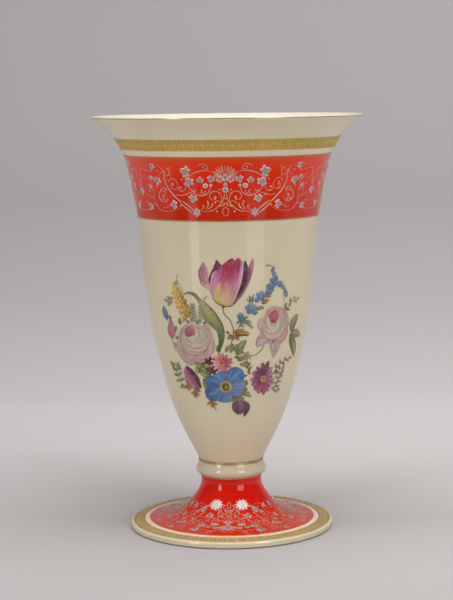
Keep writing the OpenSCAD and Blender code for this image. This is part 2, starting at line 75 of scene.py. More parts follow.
def makeCamera(c):
    pitch, roll, yaw = (math.radians(c[k]) for k in ("pitch", "roll", "yaw"))
    level = Vector((math.cos(yaw), math.sin(yaw), 0))
    ahead = Vector((-math.sin(yaw), math.cos(yaw), 0))
    forward = math.cos(pitch) * ahead - math.sin(pitch) * Vector((0, 0, 1))
    upright = math.sin(pitch) * ahead + math.cos(pitch) * Vector((0, 0, 1))
    right = math.cos(roll) * level + math.sin(roll) * upright
    up = math.cos(roll) * upright - math.sin(roll) * level
    data = bpy.data.cameras.new("camera")
    data.lens, data.sensor_width, data.clip_end = c["lens"], c["sensor"], c["farthest"]
    cam = bpy.data.objects.new("camera", data)
    bpy.context.scene.collection.objects.link(cam)
    turn = Matrix((right, up, -forward)).transposed().to_4x4()
    cam.matrix_world = Matrix.Translation((0, -c["distance"], c["height"])) @ turn
    bpy.context.scene.camera = cam


makeCamera(cameraSetup)


# Materials.
def startMaterial(name):
    material = bpy.data.materials.new(name)
    material.use_nodes = True
    tree = material.node_tree
    shader = next(n for n in tree.nodes if n.type == "BSDF_PRINCIPLED")
    place = addNode(tree, "ShaderNodeTexCoord").outputs["Object"]
    return material, tree, shader, place


def addNode(tree, kind, settings=(), **inputs):
    node = tree.nodes.new(kind)
    for key, value in dict(settings).items():
        setattr(node, key, value)
    for key, value in inputs.items():
        socket = node.inputs[int(key[1:])] if key[0] == "i" and key[1:].isdigit() else node.inputs[key]
        if isinstance(value, bpy.types.NodeSocket):
            tree.links.new(value, socket)
        else:
            socket.default_value = value
    return node


def opaque(colour, level=1.0):
    # a colour at a level, with nothing showing through
    return tuple(c * level for c in colour[:3]) + (1,)


def noise(tree, place, scale, detail=3.0, rough=0.5):
    node = addNode(tree, "ShaderNodeTexNoise", Vector=place, Scale=scale, Detail=detail, Roughness=rough)
    return node.outputs["Fac"]


def ramp(tree, fac, stops):
    node = addNode(tree, "ShaderNodeValToRGB", Fac=fac)
    line = node.color_ramp
    while len(line.elements) < len(stops):
        line.elements.new(0.5)
    for element, (at, colour) in zip(line.elements, stops):
        element.position, element.color = at, colour
    return node.outputs["Color"]


def mixColours(tree, fac, first, second, blend="MIX"):
    node = addNode(tree, "ShaderNodeMix", dict(data_type="RGBA", blend_type=blend))
    for socket, value in ((node.inputs[0], fac), (node.inputs[6], first), (node.inputs[7], second)):
        if isinstance(value, bpy.types.NodeSocket):
            tree.links.new(value, socket)
        else:
            socket.default_value = value
    return node.outputs[2]


def span(tree, value, low, high, toLow, toHigh):
    node = addNode(tree, "ShaderNodeMapRange", Value=value)
    for index, number in zip(range(1, 5), (low, high, toLow, toHigh)):
        node.inputs[index].default_value = number
    return node.outputs[0]


def maths(tree, kind, first, second=None):
    node = addNode(tree, "ShaderNodeMath", dict(operation=kind))
    for index, value in enumerate((first, second)):
        if isinstance(value, bpy.types.NodeSocket):
            tree.links.new(value, node.inputs[index])
        elif value is not None:
            node.inputs[index].default_value = value
    return node.outputs[0]


def vectorMaths(tree, kind, *values):
    sockets = {"i%d" % index: value for index, value in enumerate(values)}
    node = addNode(tree, "ShaderNodeVectorMath", dict(operation=kind), **sockets)
    return node.outputs["Value" if kind in ("LENGTH", "DOT_PRODUCT") else "Vector"]


def patches(tree, place, scale, detail, low, high, window=(0.3, 0.7), rough=0.5):
    # noise opened out between two values
    return span(tree, noise(tree, place, scale, detail, rough), *window, low, high)


def heightOf(tree, place):
    return addNode(tree, "ShaderNodeSeparateXYZ", Vector=place).outputs["Z"]


def outOfAxis(tree, place):
    # the place without its height
    return vectorMaths(tree, "MULTIPLY", place, (1, 1, 0))


def shade(tree, colour, level):
    grey = addNode(tree, "ShaderNodeCombineColor", Red=level, Green=level, Blue=level).outputs[0]
    return mixColours(tree, 1.0, colour, grey, "MULTIPLY")


def bump(tree, shader, height, strength, distance):
    node = addNode(tree, "ShaderNodeBump", Height=height, Strength=strength, Distance=distance)
    tree.links.new(node.outputs["Normal"], shader.inputs["Normal"])


def feed(tree, shader, socket, value):
    tree.links.new(value, shader.inputs[socket])


glaze = dict(
    # inside is the bowl's inner glaze, painted paler and brighter than outside as painted light from above
    outside=(0.590, 0.514, 0.360, 1), outsideDeep=(0.572, 0.490, 0.336, 1), inside=(0.735, 0.68, 0.57, 1),
    # foot and footRim are the foot's upward faces, painted paler and pinker; the paleness is painted light
    # from above
    foot=(0.87, 0.635, 0.455, 1), footRim=(0.66, 0.56, 0.39, 1), biscuitAndShadow=(0.21, 0.18, 0.15, 1), gloss=0.03,
    # how bright collar and foot are beside the bowl, and heights and radii in metres
    ringShare=0.86, flareFrom=0.270, flareTo=0.322, flareLight=1.15, rimFrom=(0.077, 0.082),
    # the bare ring at the bottom is painted dark up to these heights: bare biscuit and a painted contact
    # shadow
    bareAndShadowTo=(0.0010, 0.0018), refraction=1.56,
)


def makePorcelain(name, twoSided, litTop=False, level=1.0):
    # cream glaze: a slow drift of colour, a fine orange peel, and a bare ring to stand on, painted dark as a
    # contact shadow
    material, tree, shader, place = startMaterial(name)
    outside, outsideDeep = opaque(glaze["outside"], level), opaque(glaze["outsideDeep"], level)
    colour = mixColours(tree, patches(tree, place, 14, 2, 0, 1), outside, outsideDeep)
    height = heightOf(tree, place)
    normal = addNode(tree, "ShaderNodeNewGeometry").outputs["Normal"]
    if twoSided:
        facing = vectorMaths(tree, "DOT_PRODUCT", vectorMaths(tree, "NORMALIZE", outOfAxis(tree, place)),
                             normal)
        # painted light: the glaze is painted brighter over the flare, which faces down, and the inside, which
        # faces the light from above, is painted a paler, brighter colour
        thin = span(tree, height, glaze["flareFrom"], glaze["flareTo"], 1, glaze["flareLight"])
        colour = shade(tree, colour, thin)
        colour = mixColours(tree, span(tree, facing, -0.15, 0.25, 0, 1), glaze["inside"], colour)
    if litTop:
        # the foot's upward faces take a paler and pinker glaze colour; the paleness is painted light from
        # above
        radius = vectorMaths(tree, "LENGTH", outOfAxis(tree, place))
        ring = mixColours(tree, span(tree, radius, *glaze["rimFrom"], 0, 1), glaze["foot"], glaze["footRim"])
        colour = mixColours(tree, span(tree, heightOf(tree, normal), 0.3, 0.8, 0, 1), colour, ring)
    # bare biscuit at the very bottom, its dark colour a painted contact shadow
    bareAndShadow = span(tree, height, *glaze["bareAndShadowTo"], 1, 0)
    feed(tree, shader, "Base Color", mixColours(tree, bareAndShadow, colour, glaze["biscuitAndShadow"]))
    smear = patches(tree, place, 60, 4, glaze["gloss"], glaze["gloss"] + 0.05)
    feed(tree, shader, "Roughness", maths(tree, "MAXIMUM", smear, maths(tree, "MULTIPLY", bareAndShadow, 0.7)))
    shader.inputs["IOR"].default_value = glaze["refraction"]
    bump(tree, shader, noise(tree, place, 420, 2), 0.03, 0.0001)
    return material


enamel = dict(
    bright=(0.64, 0.026, 0.001, 1), deep=(0.56, 0.017, 0.001, 1), thin=(0.50, 0.056, 0.008, 1),
    neck=(0.56, 0.010, 0.001, 1), neckDeep=(0.51, 0.006, 0.001, 1), rim=(0.56, 0.026, 0.004, 1),
    # how much brighter it gets from the band's lower edge to its upper one, a painted shade below and painted
    # light above, and their heights in metres
    litTowardsTop=(0.80, 1.24), bandTop=0.317, bandBottom=0.2665, gloss=0.04, refraction=1.43,
)


def makeEnamel(name, banded):
    # iron red laid on with a broad brush in faint vertical strokes
    material, tree, shader, place = startMaterial(name)
    stretch = addNode(tree, "ShaderNodeMapping", Vector=place, Scale=(1, 1, 0.25)).outputs[0]
    strokes = patches(tree, stretch, 90, 4, 0, 1, (0.35, 0.68), 0.6)
    height = heightOf(tree, place)
    if banded:
        # thinner and browner along its two edges; painted darker below and brighter above, a painted shade
        # and painted light on the band
        top, bottom = enamel["bandTop"], enamel["bandBottom"]
        edge = maths(tree, "MAXIMUM", span(tree, height, top - 0.007, top, 0, 1),
                     span(tree, height, bottom, bottom + 0.0016, 1, 0))
        colour = mixColours(tree, strokes, enamel["bright"], enamel["deep"])
        colour = mixColours(tree, maths(tree, "MULTIPLY", edge, 0.75), colour, enamel["thin"])
        colour = shade(tree, colour, span(tree, height, bottom, top, *enamel["litTowardsTop"]))
    else:
        colour = mixColours(tree, strokes, enamel["neck"], enamel["neckDeep"])
        colour = mixColours(tree, span(tree, height, 0.022, 0.009, 0, 1), colour, enamel["rim"])
    feed(tree, shader, "Base Color", colour)
    feed(tree, shader, "Roughness", patches(tree, place, 70, 3, enamel["gloss"], enamel["gloss"] + 0.03))
    shader.inputs["IOR"].default_value = enamel["refraction"]
    bump(tree, shader, noise(tree, place, 520, 3), 0.03, 0.0001)
    return material


gold = dict(ground=(0.56, 0.38, 0.08, 1), olive=(0.46, 0.365, 0.09, 1), orange=(0.74, 0.42, 0.05, 1),
            pit=(0.30, 0.21, 0.05, 1), footShare=0.80)


def makeEtchedGold(name, level=1.0):
    # matt etched ground: small bitten pits, warmer and greener patches
    material, tree, shader, place = startMaterial(name)
    pits = addNode(tree, "ShaderNodeTexVoronoi", dict(feature="F1"), Vector=place,
                   Scale=1100).outputs["Distance"]
    own = {k: opaque(gold[k], level) for k in ("olive", "ground", "orange", "pit")}
    stops = [(0.34, own["olive"]), (0.50, own["ground"]), (0.66, own["orange"])]
    colour = ramp(tree, noise(tree, place, 120, 3, 0.6), stops)
    colour = mixColours(tree, span(tree, pits, 0.1, 0.6, 0.0, 0.6), colour, own["pit"])
    feed(tree, shader, "Base Color", colour)
    shader.inputs["Metallic"].default_value = 0.2
    feed(tree, shader, "Roughness", span(tree, pits, 0.1, 0.7, 0.42, 0.6))
    bump(tree, shader, pits, 0.5, 0.0003)
    return material


def makeBurnishedGold(name, colour, worn, roughness):
    material, tree, shader, place = startMaterial(name)
    wear = patches(tree, place, 160, 4, 0, 1, (0.45, 0.75), 0.65)
    feed(tree, shader, "Base Color", mixColours(tree, wear, colour, worn))
    shader.inputs["Metallic"].default_value = 0.35
    feed(tree, shader, "Roughness", patches(tree, place, 300, 2, roughness, roughness + 0.10))
    bump(tree, shader, noise(tree, place, 500, 2), 0.04, 0.0001)
    return material


lip = dict(gold=(0.46, 0.34, 0.13, 1), worn=(0.38, 0.29, 0.13, 1), paleFrom=0.3485, paleTo=0.3490)


def makeLipGold(name):
    # a gold line round the lip's outer turn; over the top there is no gold, only the inside's glaze colour,
    # painted brighter as light from above
    material, tree, shader, place = startMaterial(name)
    uneven = maths(tree, "ADD", heightOf(tree, place), patches(tree, place, 90, 3, -0.0001, 0.0001))
    pale = span(tree, uneven, lip["paleFrom"], lip["paleTo"], 0, 1)
    wear = patches(tree, place, 160, 3, 0, 1, (0.45, 0.75))
    colour = mixColours(tree, pale, mixColours(tree, wear, lip["gold"], lip["worn"]), glaze["inside"])
    feed(tree, shader, "Base Color", colour)
    feed(tree, shader, "Metallic", span(tree, pale, 0, 1, 0.35, 0))
    feed(tree, shader, "Roughness", span(tree, pale, 0, 1, 0.24, 0.06))
    return material


def makeSilver(name, colour, tarnish, metal=0.3):
    # raised satin silver paste, a little lilac and green where it has tarnished
    material, tree, shader, place = startMaterial(name)
    cloud = patches(tree, place, 240, 3, 0, 1, (0.35, 0.7), 0.6)
    feed(tree, shader, "Base Color", mixColours(tree, cloud, colour, tarnish))
    shader.inputs["Metallic"].default_value = metal
    feed(tree, shader, "Roughness", patches(tree, place, 500, 2, 0.28, 0.42))
    bump(tree, shader, noise(tree, place, 1500, 2), 0.15, 0.0001)
    return material


leafTones = dict(green=(0.25, 0.25, 0.22), lilac=(0.34, 0.25, 0.27), rim=(0.70, 0.55, 0.48))


def makeLeafSilver(name, level=1.0):
    # the leaves' fill: grey green and lilac in the middle, silver at the rim, by the piece's fill attribute
    material, tree, shader, place = startMaterial(name)
    fill = addNode(tree, "ShaderNodeAttribute", dict(attribute_name="fill")).outputs["Fac"]
    green, lilac, rim = (opaque(leafTones[k], level) for k in ("green", "lilac", "rim"))
    middle = mixColours(tree, patches(tree, place, 210, 2, 0, 1, (0.4, 0.6)), green, lilac)
    feed(tree, shader, "Base Color", mixColours(tree, span(tree, fill, 0.60, 0.80, 0, 1), middle, rim))
    shader.inputs["Metallic"].default_value = 0.25
    feed(tree, shader, "Roughness", span(tree, fill, 0, 1, 0.42, 0.30))
    bump(tree, shader, noise(tree, place, 900, 2), 0.12, 0.0001)
    return material


brushwork = dict(stretch=(9.0, 1.2, 1), deep=(0.62, 0.58, 0.60, 1), wash=(0.80, 0.72, 0.55, 1))


def makePaint(name, roughness=0.14):
    # flower paint: its colour rides on the petals, with fine brush strokes along each petal's own length
    material, tree, shader, place = startMaterial(name)
    paint = addNode(tree, "ShaderNodeAttribute", dict(attribute_name="paint"))
    own = addNode(tree, "ShaderNodeUVMap", dict(uv_map="brush")).outputs["UV"]
    stretched = addNode(tree, "ShaderNodeMapping", Vector=own, Scale=brushwork["stretch"]).outputs[0]
    strokes = noise(tree, stretched, 1.6, 5, 0.65)
    deep = mixColours(tree, 1.0, paint.outputs["Color"], brushwork["deep"], "MULTIPLY")
    amount = maths(tree, "MULTIPLY", span(tree, strokes, 0.50, 0.72, 0, 1), paint.outputs["Alpha"])
    colour = mixColours(tree, amount, paint.outputs["Color"], deep)
    wash = patches(tree, place, 260, 3, 0, 0.12, (0.5, 0.8))
    colour = mixColours(tree, wash, colour, brushwork["wash"])
    feed(tree, shader, "Base Color", colour)
    feed(tree, shader, "Roughness", span(tree, strokes, 0.3, 0.7, roughness - 0.04, roughness + 0.08))
    bump(tree, shader, strokes, 0.10, 0.0001)
    return material


def makeBrass(name, colour):
    # lathe lines run round the axis
    material, tree, shader, place = startMaterial(name)
    radius = vectorMaths(tree, "LENGTH", outOfAxis(tree, place))
    lathe = addNode(tree, "ShaderNodeCombineXYZ", X=radius, Y=heightOf(tree, place)).outputs[0]
    lines = noise(tree, lathe, 2600, 2)
    stain = patches(tree, place, 300, 3, 0, 0.6, (0.4, 0.7))
    feed(tree, shader, "Base Color", mixColours(tree, stain, colour, opaque(colour, 0.6)))
    shader.inputs["Metallic"].default_value = 1.0
    feed(tree, shader, "Roughness", span(tree, lines, 0.3, 0.7, 0.2, 0.38))
    bump(tree, shader, lines, 0.25, 0.0001)
    return material


soft = dict(rubber=(0.025, 0.025, 0.026, 1), dust=(0.09, 0.085, 0.08, 1), corkJoint=(0.14, 0.07, 0.03, 1),
            cork=[(0.0, (0.36, 0.21, 0.10, 1)), (0.5, (0.50, 0.32, 0.17, 1)), (1.0, (0.62, 0.44, 0.26, 1))])


def makeRubber(name):
    # black, with pale dust in its pores
    material, tree, shader, place = startMaterial(name)
    dust = patches(tree, place, 700, 4, 0, 0.5, (0.5, 0.75), 0.7)
    feed(tree, shader, "Base Color", mixColours(tree, dust, soft["rubber"], soft["dust"]))
    feed(tree, shader, "Roughness", span(tree, dust, 0, 0.5, 0.5, 0.75))
    bump(tree, shader, noise(tree, place, 1400, 2), 0.3, 0.0001)
    return material


def makeCork(name):
    # pressed granules, lighter bodies with dark joints between them
    material, tree, shader, place = startMaterial(name)
    cells = addNode(tree, "ShaderNodeTexVoronoi", dict(feature="F1"), Vector=place, Scale=900)
    edges = addNode(tree, "ShaderNodeTexVoronoi", dict(feature="DISTANCE_TO_EDGE"), Vector=place, Scale=900)
    joints = edges.outputs["Distance"]
    grain = addNode(tree, "ShaderNodeSeparateColor", Color=cells.outputs["Color"]).outputs[0]
    dark = span(tree, joints, 0.0, 0.08, 0.8, 0)
    body = ramp(tree, grain, soft["cork"])
    feed(tree, shader, "Base Color", mixColours(tree, dark, body, soft["corkJoint"]))
    shader.inputs["Roughness"].default_value = 0.85
    bump(tree, shader, joints, 0.5, 0.0002)
    return material


porcelainBowl = makePorcelain("porcelain_bowl", True)
porcelainCollar = makePorcelain("porcelain_collar", False, level=glaze["ringShare"])
porcelainFoot = makePorcelain("porcelain_foot", False, True, glaze["ringShare"])
bandEnamel = makeEnamel("band_enamel", True)
footEnamel = makeEnamel("foot_enamel", False)
etchedGold = makeEtchedGold("etched_gold_ground")
footGold = makeEtchedGold("etched_gold_foot", gold["footShare"])
rimGold = makeLipGold("rim_gold")
reliefGold = makeBurnishedGold("relief_gold", (0.61, 0.43, 0.11, 1), (0.49, 0.39, 0.13, 1), 0.30)
footReliefGold = makeBurnishedGold("foot_relief_gold", (0.60, 0.43, 0.19, 1), (0.50, 0.40, 0.22, 1), 0.32)
# the foot's flowers get a paler silver: a painted highlight
silverWithPaintedHighlight = makeSilver("silver_painted_highlight", (0.80, 0.68, 0.64, 1), (0.62, 0.48, 0.45, 1))
lineGold = makeBurnishedGold("line_gold", (0.33, 0.26, 0.10, 1), (0.26, 0.21, 0.10, 1), 0.32)
silver = makeSilver("silver_paste", (0.72, 0.50, 0.37, 1), (0.56, 0.40, 0.32, 1), 0.7)
leafSilver = makeLeafSilver("leaf_silver")
footLeafSilver = makeLeafSilver("foot_leaf_silver", 0.80)
footSilver = makeSilver("foot_silver_paste", (0.58, 0.42, 0.31, 1), (0.46, 0.34, 0.27, 1), 0.7)
brass = makeBrass("turned_brass", (0.74, 0.52, 0.20, 1))
zinc = makeBrass("zinc_plate", (0.55, 0.56, 0.57, 1))
rubber = makeRubber("black_rubber")
cork = makeCork("pressed_cork")
print("materials made")

finishes = {"bowl": porcelainBowl, "collar_ring": porcelainCollar, "foot": porcelainFoot,
            "bowl_gasket": cork, "foot_gasket": cork, "cushion_washer": cork, "sealing_washer": rubber,
            "through_bolt": brass, "head_washer": brass, "clamp_nut": brass, "steel_washer": zinc,
            "rim_gilding": rimGold, "joint_gilding": lineGold, "red_band_lines": lineGold,
            "foot_gold_lines": lineGold, "upper_gold_band": etchedGold, "foot_gold_band": footGold,
            "upper_red_band": bandEnamel, "foot_red_enamel": footEnamel, "band_scrollwork": silver,
            "foot_scrollwork": silver, "band_leaves": leafSilver, "foot_leaves": leafSilver}
for nodeName, material in finishes.items():
    for materialSlot in nodes[nodeName].material_slots:
        materialSlot.material = material


# The vase's own outline, read from its solids.
def readOutline(names, low, high, step):
    # heights and radii in mm, from a ray straight towards the axis at each height
    heights, radii = [], []
    count = int(round((high - low) / step))
    outside, inwards = 0.3, Vector((-1, 0, 0))
    for i in range(count + 1):
        z = low + i * step
        best = 0.0
        for name in names:
            hit, where = nodes[name].ray_cast(Vector((outside, hair, z * mm)), inwards)[:2]
            if hit:
                best = max(best, where.x / mm)
        heights.append(z)
        radii.append(best)
    return heights, radii


bowlLine = readOutline(["bowl"], 60, 349, 0.25)
redLine = readOutline(["bowl", "upper_red_band"], 260, 320, 0.25)
goldLine = readOutline(["bowl", "upper_gold_band"], 318, 334, 0.25)
footLine = readOutline(["foot", "foot_red_enamel"], 5.8, 44, 0.1)
print("outlines read: bowl", round(min(bowlLine[1]), 2), round(max(bowlLine[1]), 2),
      "foot", round(min(footLine[1]), 2), round(max(footLine[1]), 2))


def atHeight(line, z):
    # radius and slope of an outline at a height, all in mm
    heights, radii = line
    step = heights[1] - heights[0]
    k = (z - heights[0]) / step
    i = max(2, min(len(heights) - 4, int(math.floor(k))))
    radius = radii[i] + (radii[i + 1] - radii[i]) * (k - i)
    slope = (radii[i + 3] - radii[i - 2]) / (5 * step)
    return radius, slope


def onBowl(x, y, lift, line, base, reference=None):
    # x along the surface to the right of the front, y up from base, lift straight out of the surface
    radius, slope = atHeight(line, base + y)
    turn = x / (reference or radius)
    k = 1 / math.hypot(1, slope)
    reach = radius + lift * k
    return Vector((reach * math.sin(turn), -reach * math.cos(turn), base + y - lift * k * slope)) * mm


def footPath():
    # points down the foot's slope with the length walked so far
    heights, radii = footLine
    path, walked = [], 0.0
    previous = None
    for z, r in reversed(list(zip(heights, radii))):
        if previous:
            walked += math.hypot(r - previous[1], z - previous[0])
        path.append((walked, r, z))
        previous = (z, r)
    return path


footSlope = footPath()


def walkTo(path, part, value):
    # the length walked where the path comes nearest to a radius (part 1) or a height (part 2)
    return min((abs(point[part] - value), point[0]) for point in path)[1]


def onFoot(turn, walked, lift):
    # turn in radians from the front, walked is the length down the slope
    low, high = 0, len(footSlope) - 1
    while high - low > 1:
        middle = (low + high) // 2
        if footSlope[middle][0] <= walked:
            low = middle
        else:
            high = middle
    a, b = footSlope[max(0, low - 2)], footSlope[min(len(footSlope) - 1, high + 2)]
    p, q = footSlope[low], footSlope[high]
    k = (walked - p[0]) / max(1e-6, q[0] - p[0])
    r, z = p[1] + (q[1] - p[1]) * k, p[2] + (q[2] - p[2]) * k
    dr, dz = b[1] - a[1], b[2] - a[2]
    n = math.hypot(dr, dz)
    r, z = r - dz / n * lift, z + dr / n * lift
    return Vector((r * math.sin(turn), -r * math.cos(turn), z)) * mm


# Scroll ornament, drawn flat in mm: x from the pattern's axis, y from the band's lower edge.
# Each stroke has its points, its half width at both ends, and 1 or 2 where it ends in a ball.
scroll = dict(
    repeats=3, axis=-2.0, reference=79.0, base=265.0, lineScale=0.56, ballHalf=0.78, sunk=-0.05,
    leafScale=1.0, leafLift=0.10, leafLong=1.35, leafThick=0.30, leafCorners=48,
    cupThick=0.26, cupFill=0.35, cupCorners=20,
    strokes=[
        ([(0.8, 24.4), (1.2, 20.6), (3.0, 16.9), (6.0, 13.1), (9.8, 10.3), (14.0, 9.1), (20.3, 8.9)], 0.6,
         0.4, 0),
        ([(3.4, 17.8), (3.4, 21.6), (5.6, 24.6), (8.8, 25.4), (11.9, 23.9), (12.6, 21.0), (10.9, 18.6),
          (8.4, 19.0)], 0.45, 0.6, 1),
        ([(4.6, 17.6), (6.9, 17.6), (8.2, 16.4)], 0.3, 0.5, 1),
        ([(-5.6, 13.2), (-1.0, 15.0), (3.2, 16.9), (6.0, 17.8)], 0.35, 0.35, 0),
        ([(10.4, 15.9), (11.6, 12.6), (15.5, 10.3)], 1.0, 0.3, 0),
        ([(14.8, 17.9), (13.9, 14.1), (16.8, 10.6)], 1.1, 0.3, 0),
        ([(18.9, 14.4), (18.0, 12.4), (20.3, 9.9)], 1.0, 0.3, 0),
        ([(37.2, 16.4), (38.4, 17.2), (43.3, 21.6), (47.7, 26.7), (50.4, 32.8), (50.6, 38.9), (51.8, 43.2),
          (55.4, 45.9)], 1.1, 0.35, 0),
        ([(3.7, 35.6), (7.4, 39.4), (12.1, 41.7), (18.3, 41.6), (24.7, 39.6), (28.6, 36.5), (31.4, 32.8)],
         0.35, 0.6, 0),
        ([(30.6, 31.8), (29.2, 28.6), (26.4, 25.1), (22.7, 22.5), (18.3, 21.9), (14.5, 23.4), (12.2, 26.6),
          (11.4, 29.6)], 0.35, 0.8, 2),
        ([(19.6, 26.6), (18.4, 24.6), (20.8, 23.2)], 0.8, 0.25, 0),
        ([(23.3, 27.4), (24.4, 25.3), (27.1, 26.3)], 0.25, 0.7, 0),
        ([(15.5, 25.9), (16.4, 24.3), (18.4, 23.0)], 0.7, 0.25, 0),
        ([(20.5, 44.2), (19.4, 46.4), (16.5, 47.3), (13.8, 46.2), (13.2, 43.9), (14.8, 42.9), (16.6, 43.6),
          (16.2, 45.0)], 0.35, 0.5, 1),
        ([(31.7, 32.4), (31.9, 28.4), (34.0, 25.6), (37.2, 25.6), (38.4, 27.2), (37.0, 28.4)], 0.6, 0.3, 1),
        ([(26.8, 24.6), (31.0, 23.4), (36.4, 21.8), (41.1, 22.4)], 0.25, 0.6, 0),
        ([(31.0, 21.9), (33.4, 23.0)], 0.5, 0.3, 0),
        ([(40.2, 33.9), (38.6, 31.2), (39.4, 28.0), (41.8, 26.6), (44.4, 27.6), (44.9, 30.4), (43.4, 31.8)],
         0.35, 0.5, 1),
        ([(40.2, 33.9), (41.6, 35.0), (44.0, 35.2), (46.2, 33.8)], 0.3, 0.45, 1),
        ([(50.0, 20.0), (50.6, 17.4), (54.0, 16.2), (57.8, 17.6), (59.2, 21.2), (57.2, 24.6), (53.4, 25.4),
          (51.4, 23.6), (53.4, 21.4)], 0.5, 0.6, 1),
        ([(57.2, 17.8), (54.4, 19.0), (53.0, 17.6)], 0.45, 0.6, 1),
        ([(57.4, 24.4), (55.4, 27.0), (52.4, 27.6), (50.8, 26.2)], 0.4, 0.55, 1),
        ([(38.4, 12.2), (43.0, 10.2), (49.0, 8.9), (56.0, 8.6), (61.5, 10.9), (64.6, 15.4), (65.2, 21.0),
          (64.4, 26.0), (66.4, 31.5), (69.8, 36.0), (73.6, 38.6)], 0.3, 0.35, 0),
        ([(39.0, 12.4), (37.4, 14.2)], 0.35, 0.6, 1),
        ([(46.4, 14.0), (50.5, 12.6), (53.0, 11.4), (56.0, 12.0)], 0.3, 0.4, 0),
        ([(50.6, 38.9), (47.4, 37.6), (45.4, 38.9), (44.6, 41.6), (46.6, 43.2)], 0.45, 0.3, 1),
        ([(50.4, 36.0), (49.4, 40.4), (50.8, 41.6), (53.2, 39.4), (56.4, 37.0)], 0.3, 0.45, 0),
        ([(43.2, 45.6), (45.0, 41.0), (44.2, 36.0)], 0.45, 0.25, 0),
        ([(64.6, 24.6), (66.6, 25.6), (67.4, 27.0)], 0.3, 0.3, 0),
        ([(62.4, 13.0), (66.0, 14.2), (69.0, 13.0)], 0.3, 0.3, 0),
        ([(64.6, 18.2), (67.8, 19.6), (71.6, 21.0), (75.8, 22.0), (79.4, 25.0)], 0.3, 0.35, 0),
        ([(66.0, 31.0), (63.4, 32.4), (63.0, 35.6), (65.6, 37.2), (67.6, 35.6)], 0.35, 0.4, 1),
        ([(69.8, 36.0), (74.6, 34.2), (78.4, 36.0), (79.8, 39.8), (77.6, 42.8), (74.0, 42.4)], 0.35, 0.5, 1),
        ([(55.4, 45.9), (60.0, 43.6), (65.0, 41.0), (70.0, 41.6)], 0.35, 0.5, 1),
        ([(63.0, 45.6), (66.4, 46.4), (69.0, 44.8), (72.0, 46.0), (76.0, 44.6)], 0.45, 0.3, 0),
        ([(70.6, 12.0), (75.6, 9.2), (82.7, 8.4)], 0.3, 0.45, 0),
        ([(82.7, 28.4), (80.8, 31.6), (82.7, 35.6)], 0.4, 0.5, 0),
        ([(0.0, 37.8), (0.0, 29.0)], 0.5, 0.7, 0),
        ([(-3.6, 24.0), (-1.4, 26.4), (0.0, 26.9), (1.4, 26.4), (3.6, 24.0)], 0.3, 0.3, 0),
    ],
    bars=[([(26.4, 9.9), (31.2, 13.8), (36.4, 17.3)], 0.9, 0.7, 0),
          ([(27.9, 7.7), (32.8, 11.4), (37.8, 15.4)], 0.9, 0.7, 0)],
    # the drop under the axis is one closed loop
    loop=dict(centre=(0.0, 8.9), halfWide=2.5, halfTall=3.4, lineHalf=0.42),
    balls=[(8.0, 20.4, 1.0), (1.6, 14.0, 0.7), (4.2, 13.5, 0.7), (7.2, 9.1, 0.8), (4.6, 26.7, 0.7),
           (36.3, 28.2, 0.8), (0, 19.6, 0.8), (54.4, 21.2, 0.9), (60.6, 28.6, 0.7), (43.0, 30.2, 0.8),
           (57.0, 41.4, 0.8), (72.4, 29.6, 0.7), (76.4, 15.6, 0.8), (34.4, 34.8, 0.7), (70.2, 24.6, 0.7)],
    # vine leaves: x, y, size, the way the tip points in degrees
    leaves=[(31.0, 41.2, 6.2, 20), (28.9, 32.8, 5.6, 62), (10.9, 35.2, 4.1, -70), (19.6, 34.4, 3.7, 90),
            (26.4, 19.6, 4.7, -75), (44.4, 14.2, 4.7, 0), (58.6, 33.2, 4.9, -80), (62.2, 45.0, 3.8, 60),
            (71.6, 11.8, 4.2, -60), (68.4, 28.4, 3.0, 80), (65.6, 35.4, 2.8, 90), (83.0, 24.0, 4.4, -90)],
    fan=dict(focus=(0.0, 33.0), petals=13, inner=4.6, outer=13.4, spread=66, half=0.58),
    # cups: where, half width and half height, the way they point
    cups=[((0.0, 36.4), (1.5, 3.4), 90), ((2.7, 35.8), (1.2, 2.8), 58), ((4.9, 33.6), (1.0, 2.4), 30),
          ((0.0, 30.0), (1.5, 2.2), 90), ((0.0, 26.4), (2.4, 2.1), 90), ((15.6, 29.8), (2.3, 2.0), 60),
          ((11.3, 30.2), (1.2, 1.1), 90)],
    # a rosette of small discs in the field between the scrolls
    rosette=dict(at=(24.2, 8.3), petals=6, out=2.1, half=(1.05, 1.55)),
)
# a flattened half round: how far across and how high, in half widths, with a flat back
strokeSection = [(-1.0, 0.0), (-0.66, 0.42), (0.0, 0.60), (0.66, 0.42), (1.0, 0.0)]
# a low bead, in half widths too: how far out and how high its rings are, and how high its middle is
beadShape = dict(rings=[(1.0, 0.0), (0.62, 0.42)], top=0.55, corners=10)
# half of a vine leaf with three lobes, its stalk at the bottom
leafOutline = [
    (0.0, -0.52), (0.20, -0.64), (0.52, -0.88), (0.74, -0.66), (0.60, -0.36), (0.92, -0.34), (1.14, 0.02),
    (0.92, 0.30), (0.60, 0.14), (0.52, 0.44), (0.40, 0.76), (0.16, 0.92), (0.0, 1.22),
]


def addGrid(name, across, along):
    deselectAll()
    bpy.ops.mesh.primitive_grid_add(x_subdivisions=across, y_subdivisions=along, size=2, location=(0, 0, 0))
    grid = bpy.context.object
    grid.name = name
    return grid


def addFilledCircle(name, corners, rings):
    # a disc built as by hand: circle, fill, then insets towards the middle
    deselectAll()
    bpy.ops.mesh.primitive_circle_add(vertices=corners, radius=1.0, fill_type="NGON", location=(0, 0, 0))
    disc = bpy.context.object
    disc.name = name
    bpy.ops.object.mode_set(mode="EDIT")
    bpy.ops.mesh.select_all(action="SELECT")
    for ring in range(rings):
        bpy.ops.mesh.inset(thickness=0.9 / rings, depth=0)
    bpy.ops.mesh.poke()
    bpy.ops.object.mode_set(mode="OBJECT")
    return disc


